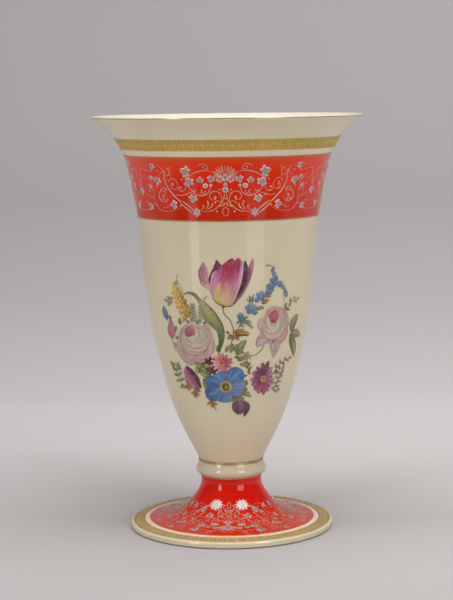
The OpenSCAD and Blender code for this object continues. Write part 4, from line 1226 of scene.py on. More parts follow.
def drawFoliage():
    g = "foliage"
    # stems first, then leaves over them
    stem(g, [
        (-5, 20.5), (-5, 16), (-3.6, 12.6), (0, 9), (2.2, 4), (3, 0), (2.6, -6), (1, -12), (-2, -18),
    ], 0.55, [(110, 120, 80), (95, 105, 60)], rows=18)
    stem(g, [(4, -4), (2, -9), (-2, -16)], 0.4, [(120, 128, 85)])
    stem(g, [(8.7, 10), (9.4, 6.5), (7.4, 2.5), (4, -2)], 0.4, [(120, 125, 80)])
    stem(g, [(29, -14.5), (25, -19), (20, -22), (14, -22)], 0.6, [(130, 135, 95), (110, 112, 75)])
    stem(g, [
        (-39, 29), (-42, 36), (-45.5, 41), (-45, 44.6), (-42.6, 45.6),
    ], 0.35, [(120, 125, 75), (150, 145, 100)])
    stem(g, [(14, -24), (15, -33), (16.4, -38)], 0.35, [(125, 95, 60), (105, 75, 45)])
    stem(g, [(49, 13), (55, 18.4), (59, 20.6), (66, 21.2)], 0.4, [(115, 108, 75), (140, 130, 100)])
    stem(g, [(-28, 5), (-29, 12), (-31, 20)], 0.3, [(125, 130, 100)])
    stem(g, [(-24, 5), (-23, 12), (-24, 19)], 0.3, [(125, 130, 100)])
    stem(g, [(31.6, 52), (34.6, 52.3), (36.6, 51.2), (37.4, 48.4)], 0.42, [(118, 122, 104), (96, 106, 110)])
    stem(g, [
        (40, -37), (43, -34), (47, -31), (53, -29), (57.5, -28.3),
    ], 0.35, [(120, 85, 50), (135, 110, 75)])
    stem(g, [(38, -55), (41, -50), (45, -43), (49, -37)], 0.3, [(120, 125, 85)])
    stem(g, [(48, 29), (47.6, 24), (50.5, 19)], 0.3, [(120, 115, 90)])
    stem(g, [(-55, -31), (-50, -38), (-45, -46), (-43, -50)], 0.35, [(120, 130, 95)])
    stem(g, [(-53, -9), (-52, -15), (-49, -20)], 0.35, [(125, 120, 70)])
    # the long curling leaf
    petal(g,
          [(-38.5, 28.6), (-34, 29.6), (-29, 27.4), (-26, 23.4), (-23.6, 19), (-22.6, 13), (-19.6, 7.5),
           (-13, 1.5), (-10, -2), (-9, -10), (-9.4, -19)],
          [(-38.5, 29.6), (-33.6, 31.6), (-28, 30.4), (-23.6, 26), (-18, 22), (-13, 17), (-8.6, 11),
           (-5, 3.6), (-4, -5), (-6, -13), (-8.6, -19.5)],
          [(100, 110, 70), (110, 118, 80), (95, 105, 65), (150, 142, 95), (158, 148, 92), (150, 145, 92),
           (130, 132, 82), (95, 108, 66), (75, 90, 52), (70, 84, 50)],
          [(75, 88, 52), (80, 95, 58), (75, 85, 50), (110, 115, 62), (105, 110, 60), (85, 95, 50),
           (70, 80, 42), (68, 80, 45), (65, 75, 42)],
          [(80, 95, 55), (90, 100, 60), (85, 98, 60), (95, 115, 75), (80, 108, 70), (72, 100, 62),
           (62, 90, 52), (55, 78, 42), (52, 70, 38)], rows=30, columns=8, hold=2.2, stroke=0.9)
    blade(g, [(-33, 30.2), (-28, 28.2), (-24, 23.8), (-20.5, 17), (-14, 8.5), (-8.6, 0), (-7.2, -10)], 0.42,
          [(60, 80, 45), (78, 88, 45), (60, 74, 38)], shape="stem", rows=16, columns=2)
    blade(g, [(-15, 19), (-10.5, 12), (-6.6, 4), (-5, -4)], 1.0,
          [(105, 128, 88), (85, 112, 75), (65, 90, 52)], shape="leaf", rows=10)
    blade(g, [(-21.6, 23.6), (-20, 26.6), (-17, 28.2)], 0.6, [(125, 130, 90)], shape="leaf")
    blade(g, [(-23.4, 22.6), (-22, 21.2), (-20.6, 21.6)], 0.8, [(105, 110, 75)], shape="leaf")
    # olive, green and brown leaves
    leaves(g, [
        (56, -9.5, 20, 4.6, -66, (75, 82, 48), (128, 128, 72)),
        (55.5, -8.5, 18, 4.0, -6, (88, 95, 60), (128, 130, 82)),
        (57.4, -5, 17, 4.2, 54, (95, 90, 58), (140, 132, 82)),
        (7.4, -19.4, 13, 2.9, 60, (72, 80, 42), (135, 145, 85)),
        (6.6, -20, 8.5, 1.8, 96, (80, 88, 48), (120, 128, 80)),
        (2.6, -18, 7, 1.3, 88, (125, 95, 70), (165, 130, 95)),
        (-16, -39, 10, 2.6, 158, (85, 92, 45), (148, 145, 84)),
        (-27, -33, 11, 2.4, 12, (92, 95, 42), (150, 148, 78)),
        (-27.5, -31.5, 9, 2.2, -32, (80, 85, 40), (140, 140, 76)),
        (-20, -37, 9, 2.0, -92, (80, 85, 45), (130, 132, 78)),
        (-22.4, -41.5, 9, 1.9, -84, (72, 78, 40), (125, 125, 78)),
        (8, -53.4, 10.5, 2.4, -26, (88, 88, 45), (140, 135, 78)),
        (9, -55, 7, 1.7, 8, (78, 80, 42), (120, 118, 70)),
        (6, -26, 7.5, 1.8, 14, (95, 95, 45), (140, 138, 80)),
        (8, -29, 6, 1.6, -20, (90, 90, 45), (132, 130, 75)),
        (-48.5, -9.4, 5, 1.6, 28, (72, 85, 60), (110, 125, 95)),
        (-49.5, -3.5, 6, 1.6, 62, (88, 92, 60), (125, 128, 85)),
        (-51, -12, 5.5, 1.0, -75, (120, 115, 50), (150, 145, 75)),
        (-44, 4.4, 5, 1.4, 70, (92, 90, 48), (128, 120, 72)),
        (-42, 3.4, 6, 1.6, 112, (80, 82, 45), (118, 115, 70)),
        (-31, 6.5, 4.4, 1.3, 100, (85, 92, 72), (120, 125, 100)),
        (-27.5, 4.6, 5, 1.4, 40, (85, 90, 70), (118, 122, 98)),
        (-33, 5, 5, 1.4, 140, (90, 95, 72), (122, 126, 100)),
        (-22, 5, 5.5, 1.3, 20, (90, 98, 72), (122, 130, 98)),
        (44, 35, 8, 1.5, -36, (105, 110, 90), (135, 140, 120)),
        (50, 31, 7, 1.7, -88, (100, 102, 85), (130, 132, 112)),
        (30.4, 51.9, 4.4, 0.8, 2, (112, 116, 92), (140, 142, 116)),
        (36.6, 50.6, 5.5, 1.3, -78, (105, 108, 98), (135, 138, 128)),
        (19.0, 22.6, 6.6, 1.0, 112, (72, 82, 52), (105, 115, 80)),
        (19.6, 22.6, 7.2, 0.8, 84, (78, 88, 58), (110, 118, 85)),
        (18.4, 22.8, 5.4, 0.8, 144, (88, 98, 68), (125, 130, 96)),
        (27, 21, 7, 1.9, 22, (105, 72, 42), (150, 118, 78)),
        (22, 16.4, 7.6, 1.6, 8, (100, 72, 42), (145, 115, 75)),
        (30, 27, 5.5, 1.5, -8, (105, 80, 50), (150, 120, 82)),
        (11, 8.6, 5, 1.2, 26, (78, 85, 60), (112, 118, 90)),
        (11.4, 7, 7, 1.2, -12, (88, 98, 82), (120, 128, 112)),
        (14, 5, 7, 1.1, -42, (100, 102, 75), (135, 135, 100)),
        (8.6, 4.4, 4, 0.8, -40, (105, 108, 70), (130, 130, 92)),
        (50, 15, 5.4, 1.5, -18, (88, 80, 55), (122, 112, 82)),
        (49.4, 15.4, 5, 1.2, 62, (98, 95, 70), (128, 122, 92)),
        (54, 19.4, 3.6, 1.2, -54, (98, 95, 62), (130, 125, 88)),
        (55.5, 20, 4.2, 1.2, 72, (98, 98, 65), (135, 132, 92)),
        (60, 21.4, 4, 1.1, 58, (110, 108, 78), (145, 140, 105)),
        (60.6, 21, 4, 1.0, -28, (108, 105, 78), (140, 135, 102)),
        (64, 21.6, 4.4, 0.9, 12, (118, 114, 88), (145, 140, 110)),
        (57, 20.4, 3.4, 1.0, 118, (100, 100, 68), (130, 128, 92)),
    ])
    # midribs of the three large leaves on the right
    midribs = [
        [(56, -9.5), (59, -17), (63.4, -26)],
        [(56, -8.6), (64, -8.4), (72, -10)],
        [(57.6, -4.6), (62, 1.4), (66.8, 8)],
    ]
    for points in midribs:
        stem(g, points, 0.3, [(78, 78, 45), (105, 102, 62)])
    # brown sprigs: a short stem with pairs of small leaves
    pairs = [
        (0.1, 72, 5.6), (0.1, -72, 5.6), (0.35, 40, 4.4), (0.35, -44, 4.4), (0.0, 160, 3.6),
        (0.05, 20, 3.4),
    ]
    sprigs = [
        (-38, -47, -64, 7, (105, 68, 35), (158, 118, 70)),
        (-30.6, -52, -76, 8, (100, 66, 34), (155, 118, 72)),
        (-16.4, -59.6, -64, 10, (90, 60, 22), (165, 120, 66)),
    ]
    for x, y, a, n, dark, light in sprigs:
        c, s = math.cos(math.radians(a)), math.sin(math.radians(a))
        stem(g, [(x, y), (x + n * c * 0.5, y + n * s * 0.5), (x + n * c, y + n * s)], 0.42, [dark])
        for share, turn, long in pairs:
            leaf(g, x + n * c * share, y + n * s * share, long, 1.25, a + turn, dark, light)
    # the brown sprig where the stems cross
    leaves(g, [
        (1, -3, 5.4, 1.5, -118, (100, 62, 28), (158, 112, 62)),
        (0, -2.4, 3.6, 1.0, 150, (110, 70, 34), (150, 108, 60)),
        (4.4, -4.8, 12.5, 2.3, 6, (95, 60, 25), (168, 124, 72)),
        (4.6, -4, 8.4, 1.6, 34, (102, 66, 28), (160, 118, 68)),
        (4.2, -5.4, 4.6, 1.5, -46, (100, 72, 34), (142, 108, 62)),
        (2.4, -4.6, 4.6, 1.2, -96, (105, 76, 38), (148, 112, 66)),
        (3.4, -3.4, 4.4, 1.0, 66, (112, 78, 40), (160, 120, 74)),
    ])
    blade(g, [(4.6, -4.9), (9, -4.2), (15.4, -5.2)], 0.35, [(80, 48, 20)], shape="stem", rows=6, columns=2)
    # pale twig star beside the pink daisy
    for a, n in ((118, 4.2), (62, 4.6), (-42, 5.2), (-128, 4.0), (178, 5.0), (20, 3.4)):
        leaf(g, 13.6, -22, n, 0.85, a, (125, 100, 82), (168, 138, 112))
    twig(g, 0.95, (78, 62, 32), (125, 104, 62), [
        (15, -33, 4.4, 118), (14.4, -28, 3.4, 150), (15.6, -35.5, 5.5, 62), (15.4, -31, 4, 70),
        (16.2, -38, 4.6, 100), (14, -38.5, 3.2, 186), (14.2, -43.5, 3.4, 178), (14.4, -50.6, 3.6, 168),
    ])
    # brown twig and green twig on the right
    twig(g, 1.05, (95, 60, 30), (150, 112, 68), [
        (41, -35.8, 5.4, -80), (42.4, -34.4, 4.4, 122), (43.6, -33.4, 4.2, -62), (46.6, -31.2, 4.2, 112),
        (48, -30.4, 4.4, -58), (51.6, -29.4, 3.4, 96), (53.6, -28.8, 3.2, -46), (57, -28.4, 3.0, 20),
        (40.6, -36.4, 4.0, -128),
    ])
    twig(g, 1.05, (92, 98, 55), (138, 140, 92), [
        (44.6, -43.6, 5, 20), (44.4, -44, 5, 150), (46.8, -40.4, 4.6, 30), (46.6, -40.6, 4.2, 138),
        (48.6, -37.6, 4.4, 64), (42.4, -47.6, 5.2, 8), (42.2, -47.8, 5, 168), (40.4, -51, 5.2, -6),
        (40.2, -51.2, 4.8, 184), (38.8, -53.8, 5, -38), (37, -46.6, 3.8, 60), (43.2, -52.6, 3.4, -62),
    ])
    # grey green sprigs on the left
    twig(g, 1.25, (82, 92, 60), (130, 140, 100), [
        (-54, -33, 5, 120), (-53, -34, 4.6, 60), (-51, -36.4, 5.2, 148), (-50, -37.4, 5.6, 46),
        (-48, -34, 5, 78), (-48.4, -40.4, 5.2, 176), (-47.4, -41.4, 6, 40), (-46, -44, 5.4, 200),
        (-45.4, -45, 5.6, 20), (-44, -48, 5, -118), (-43.6, -48.4, 5, -50), (-45, -36, 5, 96),
    ])
    # small pale sprays between the yellow spike and the long leaf
    for k in range(6):
        y = 7 + 2.5 * k
        leaf(g, -28.6 - 0.35 * k, y, 3.2, 0.85, 38 + 4 * k, (112, 118, 92), (142, 145, 112))
        leaf(g, -28.8 - 0.35 * k, y, 3.2, 0.85, 142 - 4 * k, (108, 112, 88), (138, 140, 108))
    for k in range(5):
        y = 8 + 2.6 * k
        leaf(g, -23.4, y, 2.8, 0.8, 52, (115, 120, 92), (145, 148, 115))
        leaf(g, -23.6, y, 2.8, 0.8, 132, (112, 116, 90), (140, 144, 112))
    # dark leaves in the gaps between the flowers
    leaves(g, [
        (-20.6, -29.8, 10, 2.2, 171, (78, 84, 48), (138, 140, 86)),
        (-24.6, -36.6, 7, 1.9, 128, (84, 90, 50), (140, 140, 88)),
        (4.8, -20.4, 7, 1.7, 14, (80, 86, 50), (124, 124, 82)),
        (3.6, -22.4, 6.4, 1.4, -28, (76, 78, 44), (118, 114, 72)),
        (8.6, -25.4, 7.4, 1.8, 22, (84, 88, 50), (134, 132, 84)),
        (3.4, -16.4, 5.4, 1.0, 104, (88, 90, 54), (124, 120, 82)),
        (-9.8, -18.6, 7.4, 0.9, 82, (72, 80, 46), (98, 104, 64)),
        (-3.2, -18.8, 6.4, 0.7, 72, (96, 78, 56), (128, 110, 80)),
        (0.4, -19.6, 8.4, 0.8, 64, (92, 96, 60), (126, 126, 88)),
        (12.4, -52.2, 4.6, 1.1, 96, (80, 84, 48), (118, 118, 74)),
        (13.6, -47.4, 4.2, 0.9, 84, (76, 72, 42), (110, 104, 66)),
    ])
    # under the lowest blue floret
    tuft = [
        (9.4, 9.0, 6.4, 1.3, 262), (10.2, 8.8, 5.6, 1.2, 306), (8.6, 8.6, 4.6, 1.0, 220),
        (11.6, 6.2, 4.4, 0.9, 340),
    ]
    for row in tuft:
        leaf(g, *row, (70, 84, 72), (118, 126, 108))


def dimmed(share, colours):
    # the same tones, darker as the share grows
    return [tuple(c * (1.06 - 0.24 * share) for c in colour) for colour in colours]


def drawYellowSpray():
    g = "yellow"
    for x, y, r in [(-46.4, 35.4, 1.5), (-45.4, 37.6, 1.2), (-46, 40, 1.0)]:
        lobe(g, x, y, r * 0.7, r * 1.4, 80, [(150, 140, 80), (170, 150, 90)], [(120, 110, 50)])
    florets = [
        (-48, 37.6, 1.9), (-48.4, 34, 2.4), (-45.4, 33.6, 2.0), (-50, 31, 2.3), (-46.2, 30.6, 2.7),
        (-43.2, 30.6, 1.9), (-48.4, 27.4, 2.5), (-44.6, 27, 2.9), (-41.2, 27.4, 2.0), (-46.6, 23.6, 2.4),
        (-42.8, 23.2, 3.0), (-38.8, 23.6, 2.4), (-44.6, 19.6, 2.6), (-40.6, 18.8, 3.0), (-36.4, 19, 2.5),
        (-42, 15.4, 2.4), (-38, 14.8, 3.0), (-33.8, 16, 2.6), (-35.2, 12.6, 2.0), (-39.4, 10.6, 2.5),
        (-40.6, 7.6, 1.6),
    ]
    for i, (x, y, r) in enumerate(florets):
        dark = min(1.0, max(0.0, 0.5 + (x + 47.4 - 0.30 * (38 - y)) / 7))
        lobe(g, x + 0.4, y - 0.5, r, r * 1.05, 80, dimmed(dark, [(150, 116, 52), (168, 134, 68)]),
             dimmed(dark, [(132, 98, 40)]), crown=0.10)
        for k in range(4):
            a = math.radians(90 * k + 35 + shaky.random() * 60)
            lobe(g, x + r * 0.42 * math.cos(a), y + r * 0.42 * math.sin(a), r * 0.46, r * 0.60,
                 math.degrees(a), dimmed(dark, [(170, 132, 62), (200, 166, 92), (212, 184, 120)]),
                 dimmed(dark, [(172, 134, 66), (192, 156, 86)]), rows=5, columns=3, crown=0.10)
        lobe(g, x + r * 0.1, y - r * 0.5, r * 0.16, r * 0.34, 20 + 40 * (i % 3),
             dimmed(dark, [(120, 84, 30)]), dimmed(dark, [(140, 104, 46)]), rows=3, columns=2, up=0.06)
    twig(g, 1.0, (98, 92, 55), (142, 132, 88), [
        (-50, 24, 4.2, 150), (-51, 22.6, 4.2, 205), (-53.4, 23.6, 4.2, 130), (-54.4, 22.6, 4.2, 180),
        (-53.6, 21.6, 4.2, 232), (-56.4, 22.6, 4.2, 160),
    ])


def drawBlueFlowers():
    g = "blue"
    # the climbing spike: small five-petalled blossoms
    blossoms = [
        (38, 45.5, 2.2, 20), (39.6, 41.6, 2.9, 50), (36.6, 39.6, 2.8, 10), (44, 36.4, 2.9, 30),
        (47, 34, 2.3, 0), (35, 34.4, 4.2, 15), (40, 37.4, 2.6, 60), (33, 30.6, 3.2, 40),
        (26.2, 27.4, 4.4, 5), (22.6, 24.6, 2.4, 30), (49.6, 30, 1.8, 20), (17.6, 17.6, 5.0, 20),
        (21, 14.6, 2.6, 50), (9, 11.6, 3.0, 25),
    ]
    for x, y, r, spin in blossoms:
        for k in range(5):
            a = math.radians(spin + 72 * k)
            # lighter petals above
            tip = between([(78, 92, 138)], [(118, 138, 182)], 0.5 + 0.5 * math.sin(a))[0]
            lobe(g, x + r * 0.55 * math.cos(a), y + r * 0.55 * math.sin(a), r * 0.42, r * 0.52,
                 math.degrees(a), [(82, 90, 128), tip, tip], [(70, 84, 130), (96, 114, 160)], rows=6,
                 columns=4, crown=0.08)
        lobe(g, x, y, r * 0.2, r * 0.2, 90, [(150, 150, 140)], [(120, 120, 120)], rows=3, columns=2, up=0.04)
    for x, y, r in [(36.4, 48.4, 1.4), (38, 50, 1.1), (50.4, 27, 1.3)]:
        lobe(g, x, y, r * 0.8, r * 1.3, 70, [(95, 105, 125), (115, 125, 150)])
    # the bud at the far left
    petal(g, [(-58.4, 6.4), (-62.6, 9.6), (-63.4, 14), (-62, 18)],
          [(-57.6, 6.6), (-56.4, 9.8), (-58, 14), (-61.6, 18)],
          [(72, 88, 118), (98, 112, 148), (112, 118, 135)], [(66, 82, 120)], [(80, 96, 135)], rows=8,
          columns=5)
    lobe(g, -58.6, 9, 1.3, 3.4, 110, [(62, 80, 118), (78, 98, 150)], [(70, 86, 125)])
    # the anemone: broad petals laid over one another
    deepBlue, clearBlue, violet = (52, 84, 148), (72, 108, 176), (92, 98, 150)
    anemone = [
        ([(-4, -45), (-8, -41), (-11, -36.5)], 7.6, [violet, clearBlue, clearBlue, (98, 124, 178)],
         [(66, 92, 150), (58, 84, 140)]),
        ([(-7, -47), (-13, -45), (-20.6, -43.4)], 6.2, [(60, 78, 130), deepBlue, clearBlue],
         [(52, 82, 135), (48, 80, 130)]),
        ([(-7, -49), (-13, -53), (-20, -57.6)], 7.2, [violet, clearBlue, deepBlue, (64, 96, 152)],
         [(58, 84, 140), (54, 80, 132)]),
        ([(-4, -51), (-4.6, -56), (-5, -62)], 8.0,
         [(82, 88, 140), clearBlue, (88, 112, 166), (96, 108, 150)], [(64, 88, 142), (82, 100, 142)]),
        ([(-1, -50), (3.6, -53), (8.6, -57)], 5.4, [violet, (94, 116, 172), (104, 122, 168)],
         [(76, 94, 146), (88, 108, 150)]),
        ([(0, -48), (6, -47.4), (12.4, -46)], 6.8, [(88, 92, 146), (104, 120, 178), (122, 132, 178)],
         [(72, 88, 145), (92, 112, 160)]),
        ([(-2, -45), (3, -40), (9.6, -33.4)], 7.4,
         [(82, 92, 150), clearBlue, (66, 102, 172), (84, 116, 180)], [(46, 76, 138), (52, 82, 148)]),
    ]
    blades(g, anemone, "petal", rows=14, columns=10, hold=2.6, crown=0.16, stroke=0.9)
    # folds and lights brushed over the petals
    folds = [
        ([(1, -42), (4.4, -38), (8, -35.4)], 1.5, [(92, 128, 188), (110, 146, 200)]),
        ([(-7, -42), (-9.6, -39.4), (-12, -38)], 1.3, [(102, 130, 186), (120, 142, 190)]),
        ([(-9, -48), (-14, -48.6), (-19, -49)], 0.8, [(46, 68, 118), (42, 66, 118)]),
        ([(-6, -54), (-7, -58), (-8, -61)], 0.8, [(60, 76, 126), (66, 84, 132)]),
        ([(-10, -52), (-14, -54), (-18, -55)], 1.3, [(94, 122, 178), (104, 132, 186)]),
        ([(4, -45), (8, -44), (11, -43)], 0.7, [(66, 76, 128), (72, 84, 138)]),
        ([(-4.4, -42), (-2, -38), (-1.6, -34)], 0.7, [(46, 66, 122), (44, 70, 132)]),
        ([(-2, -54), (0, -58), (0, -61)], 1.4, [(108, 128, 176), (116, 128, 168)]),
        ([(4, -48.6), (8, -49), (11, -50)], 1.2, [(124, 134, 184), (132, 142, 188)]),
        ([(-8, -46), (-12, -43.4), (-17, -42)], 1.2, [(82, 112, 172), (92, 124, 182)]),
    ]
    for points, half, tones in folds:
        blade(g, points, half * 1.25, tones, [(70, 102, 162), (76, 108, 168)], "leaf", rows=8, columns=6,
              hold=1.0, crown=0.04, up=0.16, stroke=0.7)
    eyeX, eyeY = -3.6, -48
    lobe(g, eyeX, eyeY, 5.6, 5.0, 10, [(150, 140, 110), (178, 160, 112)], [(120, 112, 110)], rows=10,
         columns=8, crown=0.14, up=0.14)
    lobe(g, eyeX, eyeY, 3.9, 3.4, 10, [(78, 66, 24), (96, 84, 34)], [(100, 84, 40)], rows=8, columns=6,
         crown=0.12, up=0.20)
    lobe(g, -3.2, -48.2, 1.9, 1.6, 10, [(132, 112, 50), (150, 128, 62)], [(90, 76, 28)], rows=6, columns=4,
         crown=0.12, up=0.26)
    dots = 18
    for k in range(dots):
        a = 2 * math.pi * k / dots
        lobe(g, eyeX + 4.7 * math.cos(a), eyeY + 4.2 * math.sin(a), 0.42, 0.5, math.degrees(a),
             [(190, 165, 105)], [(120, 96, 50)], rows=3, columns=2, up=0.26)


def drawPurpleFlowers():
    g = "purple"
    # dark daisy behind, then the pink one
    eyeX, eyeY, dots = -15.6, -30.4, 6
    lobe(g, eyeX, eyeY, 6.2, 6.4, 90, [(52, 22, 38)], [(66, 30, 52)])
    flowerHead(g, -15.4, -30.2, 11, 1.6, 8.4, 8.6, 0, 1.45, [(112, 58, 86), (92, 38, 66), (120, 62, 92)],
               [(74, 28, 52), (62, 24, 46), (82, 34, 62)], 200, [(70, 28, 50)], [(48, 20, 38)])
    lobe(g, eyeX, eyeY, 1.3, 1.3, 90, [(185, 150, 130)], [(110, 60, 60)], up=0.08)
    for k in range(dots):
        a = 2 * math.pi * k / dots
        lobe(g, eyeX + 1.9 * math.cos(a), eyeY + 1.9 * math.sin(a), 0.4, 0.5, math.degrees(a),
             [(150, 90, 70)], [(90, 40, 40)], rows=3, columns=2, up=0.10)
    lobe(g, -6.6, -27.6, 5.6, 5.6, 90, [(118, 48, 70)], [(140, 70, 92)])
    flowerHead(g, -6.6, -27.6, 13, 2.0, 8.9, 8.7, 0, 1.35,
               [(182, 112, 122), (198, 150, 152), (206, 168, 160)],
               [(150, 62, 84), (172, 82, 104), (186, 104, 124)], 190, [(170, 110, 120), (185, 135, 138)],
               [(128, 48, 72), (150, 66, 92)])
    flowerHead(g, -6.6, -27.6, 9, 2.0, 5.0, 4.8, 0, 0.7, [(196, 140, 140), (202, 152, 148)],
               [(160, 70, 92), (178, 88, 108)], 190, [(165, 100, 112)], [(130, 46, 70)], start=0.4)
    flowerEye(g, -6.5, -27.5, 2.3, (178, 98, 52), (150, 48, 44), 10, (196, 140, 60))
    # left aster, seen from the side: a dark disc of petals above a fringe of pink ones
    ax, ay, bx, by = -38.6, -33.6, -26.4, -49.4
    for k in range(13):
        share = k / 12
        x, y = ax + (bx - ax) * share, ay + (by - ay) * share
        long = 4.4 + 3.4 * math.sin(math.pi * share)
        a = math.radians(214 - 26 * (share - 0.5))
        dx, dy = long * math.cos(a), long * math.sin(a)
        blade(g, [(x, y), (x + dx * 0.5, y + dy * 0.5 - 0.3), (x + dx, y + dy)], 1.0,
              [(128, 62, 92), (168, 108, 128), (186, 132, 142)], [(120, 56, 84), (150, 88, 110)], "petal",
              rows=6, columns=3)
    for k in range(15):
        share = k / 14
        x, y = ax + (bx - ax) * share, ay + (by - ay) * share
        long = 2.4 + 3.2 * math.sin(math.pi * share)
        a = math.radians(42 + 40 * (0.5 - share))
        dx, dy = long * math.cos(a), long * math.sin(a)
        blade(g, [(x - 1.2, y - 0.9), (x + dx * 0.4, y + dy * 0.4), (x + dx, y + dy)], 0.95,
              [(112, 58, 88), (78, 34, 52), (66, 30, 46)], [(60, 26, 40)], "petal", rows=6, columns=3)
    petal(g, [(-40, -33.6), (-37, -37.6), (-32, -44), (-27.6, -50.6)],
          [(-38.6, -32.4), (-34.4, -36), (-29.6, -42.6), (-25.6, -48.8)],
          [(120, 70, 100), (105, 55, 88), (122, 66, 104)], [(150, 92, 118)], [(70, 30, 50)], rows=12,
          columns=4, stroke=0.9)
    for k in range(7):
        share = (k + 0.5) / 7
        lobe(g, ax + (bx - ax) * share - 0.2, ay + (by - ay) * share, 0.5, 1.0, 40, [(160, 110, 132)],
             [(110, 60, 90)], rows=3, columns=2, up=0.12)
    lobe(g, -28.2, -48.4, 2.4, 3.6, -60, [(120, 66, 104), (138, 88, 122)], [(98, 48, 82)], shape="petal")
    # right aster, turned a little to the side
    cx, cy = 28.0, -42.6
    lobe(g, cx, cy, 6.4, 8.6, 76, [(66, 28, 52)], [(80, 36, 64)])
    flowerHead(g, cx, cy, 15, 2.2, 9.6, 12.4, -10, 1.6, [(120, 66, 96), (140, 84, 114)],
               [(80, 38, 64), (92, 46, 74)], 10, [(96, 48, 76)], [(62, 28, 50)], start=0.5)
    # plum at the top, pink tips to the left, magenta below, paler to the right
    tints = dict(plum=[(80, 38, 62), (98, 48, 78), (124, 72, 102)],
                 tipped=[(96, 44, 72), (126, 64, 94), (172, 112, 136)],
                 magenta=[(122, 50, 80), (160, 70, 102), (176, 96, 120)],
                 pale=[(114, 60, 92), (158, 102, 132), (188, 144, 162)])
    ring = [
        (118, 12.2, "plum"), (146, 11.8, "tipped"), (178, 11.6, "tipped"), (203, 11.8, "tipped"),
        (228, 12.6, "tipped"), (250, 13.6, "magenta"), (272, 14.4, "magenta"), (294, 12.6, "magenta"),
        (322, 11.0, "pale"), (352, 10.2, "pale"), (22, 10.8, "pale"), (47, 12.8, "pale"),
        (70, 16.0, "plum"), (93, 14.2, "plum"),
    ]
    for a, n, tint in ring:
        c, s = math.cos(math.radians(a)), math.sin(math.radians(a))
        bow = 0.5 * math.sin(a)
        bent = (cx + n * 0.55 * c - bow * s, cy + n * 0.55 * s + bow * c)
        blade(g, [(cx + 2 * c, cy + 2 * s), bent, (cx + n * c, cy + n * s)], 1.85, tints[tint],
              [(92, 42, 70), (128, 70, 98)], "petal", rows=8, columns=4, up=0.03, stroke=0.9)
    flowerHead(g, cx, cy, 11, 2.0, 5.2, 6.6, -14, 0.8, [(150, 92, 120), (160, 104, 130)],
               [(82, 36, 60), (96, 46, 72)], 10, [(110, 56, 84)], [(60, 26, 46)], start=0.5)
    flowerEye(g, cx, cy, 2.7, (168, 112, 62), (128, 70, 44), 12, (190, 150, 78))
    # the drooping bud under the bouquet, with its green cup above
    petal(g, [(3.6, -60), (1.4, -63), (1.6, -68), (4.4, -71.6), (6.4, -72.6)],
          [(5.6, -59.6), (7.4, -62), (7, -67), (7.4, -70.6), (7, -72.6)],
          [(106, 84, 92), (104, 68, 90), (88, 48, 72), (76, 36, 56)], [(92, 74, 80), (76, 42, 60)],
          [(84, 44, 66)], rows=10, columns=5, stroke=0.9)
    petal(g, [(7.6, -60), (9.6, -63), (10.4, -68), (10.4, -72), (10.8, -75)],
          [(11.4, -60.4), (15.4, -63.4), (16.2, -67), (14.4, -71), (11.6, -74.6)],
          [(106, 90, 92), (92, 56, 76), (74, 36, 52), (92, 68, 62)], [(112, 74, 100)],
          [(100, 78, 82), (70, 38, 50)], rows=10, columns=5, stroke=0.9)
    petal(g, [(5.4, -60), (4.8, -64), (5.6, -69), (7, -72)],
          [(9.8, -60), (12.4, -64), (11.6, -69), (8, -72.6)],
          [(122, 106, 106), (120, 84, 110), (106, 66, 94), (84, 42, 64)], [(92, 54, 78)], [(98, 58, 84)],
          rows=10, columns=6, stroke=0.9)
    for points in ([(6.4, -61), (6.0, -65.5), (6.8, -70.4)],
                   [(8.6, -61), (9.4, -65), (8.8, -69.6)],
                   [(11.8, -62), (13.2, -65.4), (12.4, -69)]):
        blade(g, points, 0.42, [(150, 130, 136), (156, 124, 146), (130, 90, 118)], None, "leaf", rows=6,
              columns=2, crown=0.03, stroke=0.4)
    leaves(g, [
        (5, -57, 5.4, 1.8, 200, (66, 72, 32), (108, 110, 66)),
        (5, -57.4, 5.6, 1.7, 238, (84, 88, 40), (138, 138, 84)),
        (5.4, -57.2, 6.6, 2.0, 292, (84, 88, 44), (142, 140, 92)),
        (5.6, -57, 6.2, 1.7, -24, (84, 86, 48), (124, 122, 80)),
        (4.4, -60.6, 7, 1.0, 262, (72, 60, 34), (110, 92, 60)),
    ])
    # pink bud at the far left
    petal(g, [(-53, -9.6), (-56.6, -6), (-57.8, -1), (-55.6, 4), (-54.4, 8)],
          [(-52.6, -9.6), (-49.6, -6), (-48.6, -1.4), (-51, 3), (-53.6, 8)],
          [(140, 92, 104), (172, 116, 130), (168, 108, 126), (150, 96, 110)],
          [(138, 84, 104), (158, 96, 116)], [(150, 100, 116), (170, 122, 134)], rows=12, columns=6,
          stroke=0.9)
    blade(g, [(-53, -8), (-54.4, -2), (-53, 5)], 1.3, [(126, 62, 86), (150, 78, 104), (130, 70, 90)], None,
          "leaf", rows=8)
    twig(g, 0.9, (95, 92, 62), (135, 130, 90), [
        (-53.6, 7, 4, 108), (-53.8, 7, 3.2, 60), (-49.4, -3, 4.4, 40),
    ])


